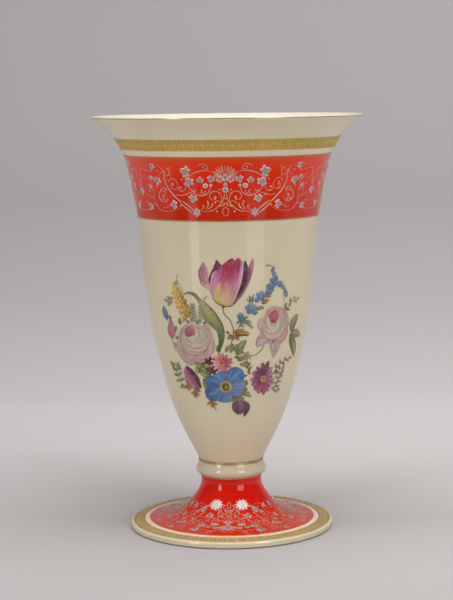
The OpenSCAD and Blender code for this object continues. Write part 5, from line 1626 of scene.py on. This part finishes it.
def drawRoses():
    g = "roses"
    # left rose, from its outer petals inwards
    petal(g, [(-36, -31.4), (-42, -27), (-47, -21), (-49.4, -15.4)],
          [(-33, -31), (-33, -26), (-38, -18), (-44, -12)],
          [(172, 142, 138), (180, 152, 144), (186, 166, 150)], [(150, 116, 118), (166, 136, 130)],
          [(178, 150, 142)], rows=10, columns=6)
    petal(g, [(-33.4, -31), (-33, -26), (-30, -22), (-22, -18)],
          [(-32.6, -31), (-26, -27.6), (-20, -25.6), (-16.4, -22.6)],
          [(168, 132, 126), (182, 156, 144), (186, 168, 150)], [(160, 120, 120)],
          [(146, 108, 110), (156, 124, 122)], rows=10, columns=6)
    petal(g, [(-20, -25), (-19.6, -18), (-18, -10), (-18.4, -2)],
          [(-17, -24), (-12.8, -18), (-12.2, -11), (-16, -2)],
          [(178, 150, 140), (190, 168, 152), (188, 174, 152)], [(166, 132, 130)],
          [(158, 124, 122), (170, 142, 134)], rows=10, columns=6)
    lobe(g, -44.4, -14.4, 4.0, 5.6, 60, [(180, 156, 146), (190, 172, 154)],
         [(152, 118, 120), (168, 142, 136)], columns=6, rows=8)
    lobe(g, -20.6, 0.6, 3.8, 5.0, 20, [(182, 172, 152), (186, 180, 158)], [(160, 150, 132)], columns=6,
         rows=8)
    # cup: a broad pale bowl of petals
    petal(g, [(-30, -23), (-40, -18.6), (-45, -11), (-44.6, -3), (-40, 2.6), (-33, 5)],
          [(-29.6, -23), (-21, -19.6), (-16, -12), (-16.4, -4), (-20, 1.6), (-27, 5)],
          [(176, 150, 142), (188, 176, 154), (186, 182, 156), (184, 180, 154), (184, 172, 150)],
          [(146, 110, 112), (162, 130, 126), (172, 148, 136)],
          [(146, 108, 112), (160, 128, 126), (172, 156, 140)], rows=16, columns=12, hold=3.2, crown=0.28,
          stroke=0.6)
    petal(g, [(-42.6, -9), (-39, -14.4), (-31, -17.6), (-22.6, -13.6), (-18, -6)],
          [(-44.6, -11.6), (-40.4, -18.4), (-31, -22.6), (-21, -18.6), (-15.8, -10)],
          [(176, 146, 142), (190, 168, 154), (192, 172, 156), (186, 162, 150)], [(188, 176, 154)],
          [(142, 104, 108), (138, 100, 106), (146, 110, 112)], rows=16, columns=6, crown=0.22, up=0.16,
          stroke=0.7)
    petal(g, [(-31, -12), (-36, -9), (-40, -4), (-41, 0)], [(-30, -12), (-27, -8.6), (-27.4, -4), (-29, 1)],
          [(184, 176, 150), (190, 184, 160), (186, 172, 152)], [(160, 136, 128), (168, 142, 132)],
          [(172, 162, 142)], rows=10, columns=8, up=0.22, crown=0.16)
    petal(g, [(-30, -13), (-27, -8), (-26, -3), (-28, 3)],
          [(-29, -13), (-21.6, -10), (-18.4, -4.6), (-19.4, 1.6)],
          [(180, 178, 154), (176, 176, 152), (172, 168, 146)], [(150, 140, 124)],
          [(156, 146, 130), (160, 152, 134)], rows=10, columns=8, up=0.24, crown=0.16)
    # heart
    lobe(g, -34, -1.0, 6.2, 5.0, 10, [(150, 84, 100), (168, 100, 116)], [(132, 68, 80)], rows=8, columns=8,
         up=0.30, crown=0.14)
    blades(g, [
        ([(-39, -1), (-36.6, 2.4), (-32, 3.6)], 1.5, [(178, 128, 130), (188, 148, 140)]),
        ([(-33, 3.6), (-30, 2), (-28.6, -1.6)], 1.3, [(186, 150, 142), (176, 128, 130)]),
        ([(-38, -3.4), (-34.4, -5.6), (-30.4, -4)], 1.0, [(118, 56, 64), (136, 70, 78)]),
        ([(-36.4, -0.6), (-34, 1.4), (-31.6, 0.4)], 0.9, [(152, 80, 98), (176, 112, 124)]),
        ([(-35.8, -3), (-33.6, -1.6), (-31.6, -2.6)], 0.9, [(142, 68, 86), (160, 88, 104)]),
        ([(-38.4, 1.4), (-34, 4.8), (-29, 4.6)], 1.0, [(190, 166, 148), (192, 176, 154)]),
    ], None, "leaf", rows=7, columns=3, up=0.34)
    # right rose
    petal(g, [(37, -25.4), (35, -20), (34, -15), (33, -10)],
          [(37.6, -25.6), (43, -20), (45.4, -15), (44, -10)],
          [(166, 142, 138), (178, 156, 150), (184, 160, 152)], [(176, 158, 150)], [(168, 150, 148)], rows=8,
          columns=6)
    petal(g, [(22.6, -15.4), (21.4, -11), (23.6, -6), (27.6, -1.6)],
          [(24.4, -15), (29, -13.6), (34.6, -11), (37.4, -7.6)],
          [(174, 148, 152), (184, 168, 166), (186, 170, 160)], [(148, 108, 122), (160, 124, 132)],
          [(156, 122, 130)], rows=10, columns=6)
    petal(g, [(37, -8.4), (41, -8), (46, -4.6), (48.6, 1)],
          [(37.6, -14.6), (44, -14.6), (51.6, -9.6), (54, -2.6)],
          [(160, 108, 114), (182, 148, 142), (186, 150, 138), (180, 142, 132)], [(186, 160, 146)],
          [(138, 92, 100), (156, 112, 110), (150, 106, 104)], rows=12, columns=6)
    petal(g, [(29, -3), (24.6, -1), (22.8, 4), (25.4, 9.4)], [(30.4, -3), (30, 2), (29.4, 6), (27.4, 10)],
          [(176, 152, 148), (188, 168, 154), (190, 172, 152)], [(156, 122, 126), (168, 138, 134)],
          [(182, 162, 148)], rows=9, columns=6)
    petal(g, [(45, -5), (48, 1), (47.4, 8), (45, 15)], [(50, -5.6), (54.2, 1), (53.4, 8.6), (50.4, 14.6)],
          [(176, 150, 142), (184, 158, 146), (182, 146, 138)], [(186, 172, 152)],
          [(150, 110, 112), (158, 116, 116), (162, 122, 118)], rows=10, columns=6)
    petal(g, [(37.6, -9), (30.4, -6), (27, 0), (28.6, 7), (31, 13), (33, 17)],
          [(38.4, -9), (46, -6), (50, 0), (49.6, 7), (49, 12), (49, 16)],
          [(188, 168, 156), (192, 184, 160), (188, 184, 158), (188, 176, 154), (190, 158, 142)],
          [(148, 112, 118), (164, 134, 134), (176, 152, 142)],
          [(146, 108, 114), (164, 136, 134), (176, 138, 130)], rows=16, columns=12, hold=3.2, crown=0.28,
          stroke=0.6, crest=[(31, 16), (36, 17.4), (41, 16.6), (46, 17), (50, 14.6)])
    petal(g, [(28, 1.6), (30.6, -3.4), (37.6, -5.6), (44.6, -3.4), (48.6, 1.6)],
          [(26.6, -1.4), (30, -7), (38, -9.6), (46.4, -6.8), (50.6, -1)],
          [(184, 152, 150), (192, 172, 158), (190, 168, 156), (184, 152, 146)], [(192, 182, 160)],
          [(136, 92, 104), (132, 88, 100), (140, 96, 104)], rows=16, columns=6, crown=0.22, up=0.16,
          stroke=0.7)
    petal(g, [(36, -3), (31, 1), (29.6, 7), (31, 12)], [(37, -3), (37.4, 2), (36, 6), (34.6, 9)],
          [(188, 182, 158), (190, 186, 162), (184, 168, 150)], [(164, 142, 134)], [(178, 168, 150)], rows=10,
          columns=7, up=0.22, crown=0.16)
    petal(g, [(38, -3), (38.6, 2), (39.4, 6), (41.4, 9)], [(39, -3), (45.6, 1), (47.4, 7), (46.4, 13)],
          [(190, 186, 160), (188, 184, 158), (184, 166, 148)], [(178, 170, 150)], [(164, 138, 130)], rows=10,
          columns=7, up=0.24, crown=0.16)
    lobe(g, 37.8, 10.2, 5.2, 5.0, 10, [(152, 78, 98), (172, 96, 120)], [(140, 66, 86)], rows=8, columns=8,
         up=0.30, crown=0.14)
    blades(g, [
        ([(32.6, 10), (34, 14), (38.4, 15.8)], 1.5, [(176, 122, 128), (188, 148, 138)]),
        ([(39, 15.8), (44, 14.6), (47, 11)], 1.8, [(188, 146, 128), (184, 136, 122)]),
        ([(34, 6.8), (37.6, 5.2), (41.4, 6.8)], 1.1, [(126, 54, 72), (142, 66, 84)]),
        ([(36, 10.4), (38.4, 12.2), (41, 11)], 0.9, [(156, 78, 100), (182, 112, 128)]),
        ([(35.6, 8), (37.8, 9.2), (40, 8)], 0.8, [(138, 58, 82), (164, 84, 106)]),
        ([(43, 12.6), (44.4, 9), (43, 6)], 1.2, [(186, 150, 138), (172, 118, 122)]),
        ([(32, 15.8), (38, 17.4), (45, 16.6)], 0.9, [(188, 160, 142), (190, 150, 134)]),
        ([(36, -13.6), (37.4, -11), (37.2, -8)], 0.9, [(132, 82, 92), (144, 96, 102)]),
    ], None, "leaf", rows=7, columns=3, up=0.34)
    # creases and turned edges: soft mauve lines, each with a pale one beside it
    creases = [
        [(-41.4, -0.6), (-44, -8), (-43, -16), (-37.6, -22)],
        [(-43, -10), (-38, -16.6), (-27, -19), (-17.3, -15)],
        [(-41, -7), (-36.5, -13.4), (-29, -15.8), (-20.5, -13), (-17.3, -7)],
        [(-27, 2), (-20.5, -0.4), (-16.6, -6.3), (-16.4, -12)],
        [(-21.5, 3), (-15.6, -0.4), (-13.6, -8), (-14.6, -16)],
        [(-37.6, -21), (-33, -25), (-29.6, -28)],
        [(-29, -20), (-23, -21.6), (-18, -19)],
        [(-38, -5), (-36, -9), (-31, -12)],
        [(-25, -1), (-23, -6), (-25, -11)],
        [(-47, -16), (-43, -19), (-39, -24)],
        [(-30, -24), (-24, -24.4), (-19, -23)],
        [(26.8, 7), (28.8, -0.4), (35.2, -5), (42.7, -3.6), (47, 2.5)],
        [(24.2, -9), (25, -6.3), (30, -4.8)],
        [(24.5, -6.6), (31, -8), (37.4, -9.4), (45.6, -7), (50.4, -1)],
        [(47, 16), (50.4, 11), (50.4, 2)],
        [(30.9, 13.3), (29.9, 7.4), (32.6, 0)],
        [(43.8, 14.3), (45.3, 7.4), (43.4, 1)],
        [(35.2, -11), (36.6, -15.6), (37.4, -20)],
        [(40, -12), (41.4, -16), (39.8, -21)],
        [(33.6, 4.6), (37.4, 2.4), (41.6, 4.6)],
    ]
    for k, points in enumerate(creases):
        dark = (148, 108, 112) if k % 3 else (136, 92, 98)
        blade(g, points, 0.62, [dark, (166, 132, 130)], [(176, 150, 140)], "leaf", rows=10, columns=4,
              hold=1.0, up=0.36, crown=0.03, stroke=0.4)
        beside = [(x - 0.3, y + 1.0) for x, y in points]
        blade(g, beside, 0.5, [(196, 178, 160), (198, 186, 164)], [(186, 166, 150)], "leaf", rows=10,
              columns=3, hold=1.0, up=0.37, crown=0.04, stroke=0.2)


def drawTulip():
    g = "tulip"
    # back petals
    petal(g, [(-12.6, 30), (-16.4, 38), (-16.4, 43), (-14.4, 48), (-12, 53), (-10.4, 57.6)],
          [(-6, 34), (-6, 42), (-5, 48), (-5.4, 53), (-7.6, 55.4), (-9.8, 58.2)],
          [(84, 42, 48), (86, 44, 62), (92, 50, 80), (84, 46, 72)], [(72, 34, 44), (78, 40, 60)],
          [(98, 54, 84)], rows=14, columns=7, stroke=0.9)
    petal(g, [(3, 24), (6.4, 31), (10, 41), (11.4, 50), (12.4, 56.6)],
          [(5.6, 25), (11.4, 33), (15.6, 41), (16.4, 49), (13.6, 57)],
          [(74, 36, 52), (70, 35, 55), (78, 38, 62), (66, 32, 52)], [(92, 50, 76)], [(58, 28, 44)], rows=14,
          columns=7, stroke=0.9)
    # small outer petal on the left
    petal(g, [(-12.4, 28), (-17, 33.6), (-22.4, 37), (-25, 43), (-25.4, 48.4), (-23.6, 52), (-21, 56)],
          [(-12, 29), (-14.6, 35), (-16.4, 41), (-16.8, 46), (-17.4, 50), (-18.6, 53), (-20.4, 56)],
          [(190, 152, 116), (188, 148, 122), (178, 128, 132), (168, 112, 128), (162, 106, 124),
           (150, 84, 96)], [(178, 140, 110), (166, 116, 116), (152, 92, 104), (142, 74, 82), (138, 62, 66)],
          [(176, 132, 116), (172, 120, 130), (176, 130, 142), (168, 116, 132)], rows=16, columns=7,
          stroke=1.0)
    # outer petal on the right
    petal(g, [(-1, 20.6), (3.4, 24.4), (8.6, 31), (13, 38.6), (15.2, 46), (16, 52), (19.4, 58.6)],
          [(-1, 20), (4.6, 22), (11, 29.4), (16.4, 39), (19.2, 47), (20.5, 53), (20.2, 58.6)],
          [(150, 112, 92), (128, 88, 84), (114, 72, 80), (126, 68, 86), (150, 80, 102), (172, 96, 120),
           (160, 80, 100)], [(104, 68, 70), (94, 56, 66), (106, 58, 78), (142, 74, 100)],
          [(160, 122, 96), (140, 96, 84), (130, 84, 88), (158, 98, 110), (176, 112, 126)], rows=18,
          columns=7, stroke=1.0)
    # the broad front petal with its ragged top
    petal(g, [(-2, 19.6), (-9, 21.6), (-13, 26), (-15.2, 32), (-16, 38.6), (-14.8, 45), (-11.6, 49)],
          [(-1.6, 19.6), (2.4, 21), (5.4, 26), (8.4, 33), (10.6, 42), (11.6, 49), (11.4, 55.6)],
          [(150, 96, 76), (192, 152, 100), (190, 160, 104), (184, 146, 112), (172, 112, 116), (158, 66, 88),
           (152, 50, 72), (148, 50, 72)],
          [(140, 92, 80), (176, 134, 116), (182, 130, 146), (184, 128, 150), (180, 122, 146),
           (164, 92, 118)],
          [(150, 104, 96), (186, 142, 132), (182, 128, 142), (176, 112, 136), (172, 104, 132),
           (170, 100, 128)],
          crest=[(-11.6, 49), (-8.4, 51), (-5.6, 53.4), (-2.8, 56), (0.4, 58.2), (3.0, 59.2), (4.8, 57.4),
                 (7.6, 59.6), (10.4, 57), (11.4, 55.4)], rows=24, columns=18, hold=1.6, crown=0.30,
          stroke=1.0)
    # flames: crimson from the top, yellow and lilac from the base; their edges fade to the petal's own colour
    crimson = (150, 44, 66)
    flames = [
        ([(-1.6, 57), (-2.4, 50), (-4, 42), (-5, 36)], 2.6,
         [(146, 44, 66), crimson, (160, 66, 86), (180, 112, 112)],
         [(156, 62, 86), (162, 76, 96), (178, 112, 124)]),
        ([(2.4, 58), (2, 51), (0.4, 43), (-1, 37)], 2.2,
         [(132, 32, 54), (138, 34, 56), (156, 60, 82), (178, 108, 116)],
         [(152, 56, 80), (160, 72, 94), (176, 108, 122)]),
        ([(7.6, 58.4), (7, 52), (5, 44), (3, 37)], 2.0,
         [(128, 34, 58), (136, 42, 66), (158, 76, 100), (176, 112, 130)],
         [(158, 72, 98), (168, 92, 116), (176, 112, 134)]),
        ([(-5.6, 53), (-7.6, 48), (-10, 42), (-11.4, 37)], 2.2,
         [(150, 54, 78), (160, 70, 98), (176, 104, 128), (184, 128, 146)],
         [(166, 86, 108), (176, 108, 132), (184, 128, 148)]),
        ([(-10.4, 49.4), (-13, 45), (-14, 40)], 1.4, [(172, 104, 130), (186, 132, 154), (190, 140, 160)],
         [(176, 112, 138), (184, 126, 150)]),
        ([(10, 54), (9.4, 46), (7.4, 38), (4.6, 30)], 1.2,
         [(186, 130, 154), (192, 146, 166), (188, 140, 156), (180, 132, 142)],
         [(174, 108, 134), (178, 116, 138)]),
        ([(-6.4, 22.4), (-9.6, 28), (-9.4, 34), (-7, 40)], 3.4,
         [(188, 158, 84), (186, 160, 80), (190, 160, 96), (188, 148, 116)],
         [(182, 140, 118), (184, 140, 124)]),
        ([(-1.4, 21.6), (-2, 26), (-1.6, 31), (-0.6, 36)], 2.0,
         [(194, 152, 96), (198, 158, 98), (190, 148, 112), (180, 126, 122)],
         [(184, 138, 120), (182, 132, 126)]),
        ([(2.4, 24), (4, 30), (5, 36), (5, 41)], 1.5, [(184, 128, 132), (178, 112, 134), (180, 118, 140)],
         [(178, 118, 136)]),
        ([(-12, 27), (-13.6, 33), (-12.6, 39), (-10, 44)], 1.3,
         [(182, 128, 140), (176, 112, 142), (182, 124, 148)], [(182, 126, 144)]),
    ]
    blades(g, flames, "leaf", rows=12, columns=6, hold=1.1, crown=0.03, up=0.28, stroke=0.9)
    # fine veins and the shaded hem at the base
    blades(g, [
        ([(0.6, 57.6), (0, 50), (-1.4, 43)], 0.35, [(112, 24, 44), (126, 34, 54)]),
        ([(-3.6, 54.6), (-5, 48), (-6.6, 42)], 0.32, [(122, 30, 52), (150, 60, 80)]),
        ([(5.2, 56.6), (4.6, 50), (3, 43)], 0.32, [(112, 26, 50), (140, 50, 74)]),
        ([(8.8, 57), (8.4, 51), (7, 45)], 0.3, [(110, 30, 56), (150, 70, 96)]),
        ([(-13, 26.4), (-8.4, 21.6), (-2, 19.6), (2.6, 20.8), (6, 24.6)], 0.42,
         [(150, 104, 84), (112, 66, 52), (108, 62, 56), (120, 78, 76)]),
        ([(11.2, 55), (10.8, 47), (9, 39), (6, 31), (2.6, 24)], 0.45,
         [(196, 156, 170), (198, 160, 170), (192, 150, 158), (186, 146, 140)]),
        ([(11.8, 34), (15.8, 42), (17.8, 51)], 0.4, [(102, 54, 66), (136, 72, 92)]),
        ([(-19, 38), (-21.4, 45), (-21, 52)], 0.4, [(150, 96, 116), (140, 80, 96)]),
        ([(-22, 40), (-24, 46), (-22.6, 51)], 0.5, [(142, 76, 84), (130, 58, 58)]),
        ([(-16, 39), (-15.2, 45), (-12, 50)], 0.4, [(72, 36, 44), (70, 36, 56)]),
    ], None, "stem", rows=10, columns=2, up=0.34, crown=0.03, stroke=0.2)
    lobe(g, -4.8, 19.8, 1.6, 1.1, 0, [(105, 88, 58)], [(92, 84, 52)], up=0.30)


def finishBouquet(group, name, slotName, replaced, material):
    # one piece per kind of flower: joined, given the paint's thickness, smoothed
    whole = joinAll(drawn[group], name)
    makeActive(whole)
    skin = whole.modifiers.new("paint_thickness", "SOLIDIFY")
    skin.thickness = bouquet["thickness"] * mm
    skin.offset = -1
    bpy.ops.object.modifier_apply(modifier=skin.name)
    finishPiece(whole, material, [replaced], angle=60)
    print(name, len(whole.data.polygons), "faces")


drawFoliage()
drawYellowSpray()
drawBlueFlowers()
drawPurpleFlowers()
drawRoses()
drawTulip()
flowerPaint = makePaint("flower_paint")
leafPaint = makePaint("leaf_paint", 0.2)
bouquetPieces = [
    ("foliage", "painted_foliage", "green_paint", "bouquet_foliage", leafPaint),
    ("yellow", "painted_yellow_spray", "yellow_paint", "bouquet_yellow_spray", flowerPaint),
    ("blue", "painted_blue_flowers", "blue_paint", "bouquet_blue_flowers", flowerPaint),
    ("purple", "painted_purple_flowers", "purple_paint", "bouquet_purple_flowers", flowerPaint),
    ("roses", "painted_roses", "rose_paint", "bouquet_roses", flowerPaint),
    ("tulip", "painted_tulip", "magenta_paint", "bouquet_tulip", flowerPaint),
]
for row in bouquetPieces:
    finishBouquet(*row)

# Stage and light.
stageSetup = dict(
    halfWide=3.2, front=-3.0, back=1.5, wall=2.6, sweep=0.9, paintedSideShade=0.06, warm=(0.945, 0.945), board=0.12,
    # metres along the sheet and how bright the paper is painted there, painted light and shade
    paper=[(-3.0, 0.44), (-0.25, 0.44), (0.0, 0.475), (0.22, 0.56), (0.55, 0.61), (1.05, 0.44), (1.38, 0.37),
           (1.62, 0.39), (1.92, 0.40), (2.5, 0.24), (4.0, 0.16)],
    # where the dark card in front ends and how dark it is; the radius that is open under the foot
    card=(-0.42, -0.25, 0.27), hole=0.083,
    # how rough the paper is, and where the smoother board in front ends
    matt=0.9, boardEnds=(-0.34, -0.26),
)


def makeStage(s):
    # one swept sheet: a floor extruded up into a wall, its inner corner rounded by a bevel
    deselectAll()
    bpy.ops.mesh.primitive_plane_add(size=1, location=(0, 0, 0))
    sheet = bpy.context.object
    sheet.name = "backdrop"
    for v in sheet.data.vertices:
        v.co.x *= 2 * s["halfWide"]
        v.co.y = s["front"] if v.co.y < 0 else s["back"]
    bpy.ops.object.mode_set(mode="EDIT")
    bpy.ops.mesh.select_mode(type="EDGE")
    bpy.ops.mesh.select_all(action="DESELECT")
    bpy.ops.object.mode_set(mode="OBJECT")
    for e in sheet.data.edges:
        e.select = all(abs(sheet.data.vertices[i].co.y - s["back"]) < 1e-6 for i in e.vertices)
    bpy.ops.object.mode_set(mode="EDIT")
    bpy.ops.mesh.extrude_region_move(TRANSFORM_OT_translate={"value": (0, 0, s["wall"])})
    bpy.ops.mesh.select_all(action="DESELECT")
    bpy.ops.object.mode_set(mode="OBJECT")
    for e in sheet.data.edges:
        ends = [sheet.data.vertices[i].co for i in e.vertices]
        e.select = all(abs(p.y - s["back"]) < 1e-6 and abs(p.z) < 1e-6 for p in ends)
    bpy.ops.object.mode_set(mode="EDIT")
    bpy.ops.mesh.bevel(offset=s["sweep"], segments=24, affect="EDGES")
    bpy.ops.object.mode_set(mode="OBJECT")
    bpy.ops.object.shade_smooth_by_angle(angle=math.radians(60))
    material, tree, shader, place = startMaterial("backdrop_paper")
    axes = addNode(tree, "ShaderNodeSeparateXYZ", Vector=place)
    # how far along the sheet, floor first and then up the wall; painted light and shade: pale under the vase,
    # brightest where the sheet begins to rise, darker up the wall
    run = maths(tree, "ADD", axes.outputs["Y"], axes.outputs["Z"])
    first, last = s["paper"][0][0], s["paper"][-1][0]
    green, blue = s["warm"]
    stops = [((at - first) / (last - first), (grey, grey * green, grey * blue, 1)) for at, grey in s["paper"]]
    colour = ramp(tree, span(tree, run, first, last, 0, 1), stops)
    # painted shade: the left side of the sheet darker, the right lighter
    colour = shade(tree, colour, span(tree, axes.outputs["X"], -0.5, 0.5, 1 - s["paintedSideShade"], 1 + s["paintedSideShade"]))
    # in front of the vase the glaze mirrors the paper as a dark card, which the camera itself never sees
    seen = addNode(tree, "ShaderNodeLightPath").outputs["Is Camera Ray"]
    card = maths(tree, "MAXIMUM", span(tree, run, *s["card"], 1), seen)
    grain = maths(tree, "MULTIPLY", card, patches(tree, place, 900, 2, 0.99, 1.01))
    feed(tree, shader, "Base Color", shade(tree, colour, grain))
    polish = span(tree, axes.outputs["Y"], *s["boardEnds"], s["board"], s["matt"])
    feed(tree, shader, "Roughness", maths(tree, "MAXIMUM", polish, maths(tree, "MULTIPLY", seen, s["matt"])))
    shader.inputs["Specular IOR Level"].default_value = 0.3
    # its back lets the eye through, so that it never hides the vase from behind or from below
    back = addNode(tree, "ShaderNodeNewGeometry").outputs["Backfacing"]
    # under the foot it is open, so that the light below reaches the underside
    hole = maths(tree, "LESS_THAN", vectorMaths(tree, "LENGTH", place), s["hole"])
    clear = addNode(tree, "ShaderNodeBsdfTransparent").outputs[0]
    both = addNode(tree, "ShaderNodeMixShader", Fac=maths(tree, "MAXIMUM", back, hole), i1=shader.outputs[0],
                   i2=clear)
    surface = next(n for n in tree.nodes if n.type == "OUTPUT_MATERIAL")
    tree.links.new(both.outputs[0], surface.inputs["Surface"])
    sheet.data.materials.append(material)
    sheet.select_set(False)


makeStage(stageSetup)

lamps = dict(
    # azimuth from the front, right is positive; aimed at a height on the axis; mirrored in the glaze or not
    left=dict(azimuth=-44, elevation=9, distance=2.2, wide=0.46, tall=1.4, power=11.4, aim=0.12,
              mirrored=True),
    right=dict(azimuth=35, elevation=9, distance=2.2, wide=0.90, tall=1.4, power=14.6, aim=0.12,
               mirrored=True),
    upperLeft=dict(azimuth=-62, elevation=56, distance=2.0, wide=0.45, tall=0.35, power=5, aim=0.05,
                   mirrored=True),
    upperRight=dict(azimuth=50, elevation=56, distance=2.0, wide=0.45, tall=0.35, power=6, aim=0.05,
                    mirrored=True),
    sideLeft=dict(azimuth=-95, elevation=22, distance=2.6, wide=1.6, tall=1.6, power=14, aim=0.15,
                  mirrored=False),
    sideRight=dict(azimuth=95, elevation=22, distance=2.6, wide=1.6, tall=1.6, power=16, aim=0.15,
                   mirrored=False),
    front=dict(azimuth=-5, elevation=0, distance=1.25, wide=1.5, tall=0.2, power=4.6, aim=0.11,
               mirrored=False),
    overhead=dict(azimuth=25, elevation=80, distance=2.0, wide=1.6, tall=1.6, power=33, aim=0.2,
                  mirrored=False),
    # small and near, so that the foot keeps its light off the rest
    beneath=dict(azimuth=0, elevation=-90, distance=0.2, wide=0.05, tall=0.05, power=0.4, aim=0.0,
                 mirrored=False),
)
# the room's light on the vase, and how bright the camera sees it
worldLevel, roomLevel, roomColour = 0.10, 0.30, (1.0, 0.96, 0.955, 1)


def makeLamp(name, s):
    a, e = math.radians(s["azimuth"]), math.radians(s["elevation"])
    aim = Vector((0, 0, s["aim"]))
    away = Vector((math.sin(a) * math.cos(e), -math.cos(a) * math.cos(e), math.sin(e)))
    data = bpy.data.lights.new(name, "AREA")
    data.shape = "RECTANGLE"
    data.size, data.size_y = s["wide"], s["tall"]
    data.energy = s["power"]
    lamp = bpy.data.objects.new(name, data)
    bpy.context.scene.collection.objects.link(lamp)
    lamp.location = aim + away * s["distance"]
    lamp.rotation_mode = "QUATERNION"
    lamp.rotation_quaternion = (-away).to_track_quat("-Z", "Y")
    lamp.visible_glossy = s["mirrored"]


for lampName, setup in lamps.items():
    makeLamp(lampName, setup)

world = bpy.data.worlds.new("room")
bpy.context.scene.world = world
world.use_nodes = True
background = next(n for n in world.node_tree.nodes if n.type == "BACKGROUND")
background.inputs["Color"].default_value = roomColour
roomSeen = addNode(world.node_tree, "ShaderNodeLightPath").outputs["Is Camera Ray"]
roomStrength = span(world.node_tree, roomSeen, 0, 1, worldLevel, roomLevel)
world.node_tree.links.new(roomStrength, background.inputs["Strength"])
bpy.context.scene.view_settings.view_transform = "Standard"

deselectAll()
print("scene finished")
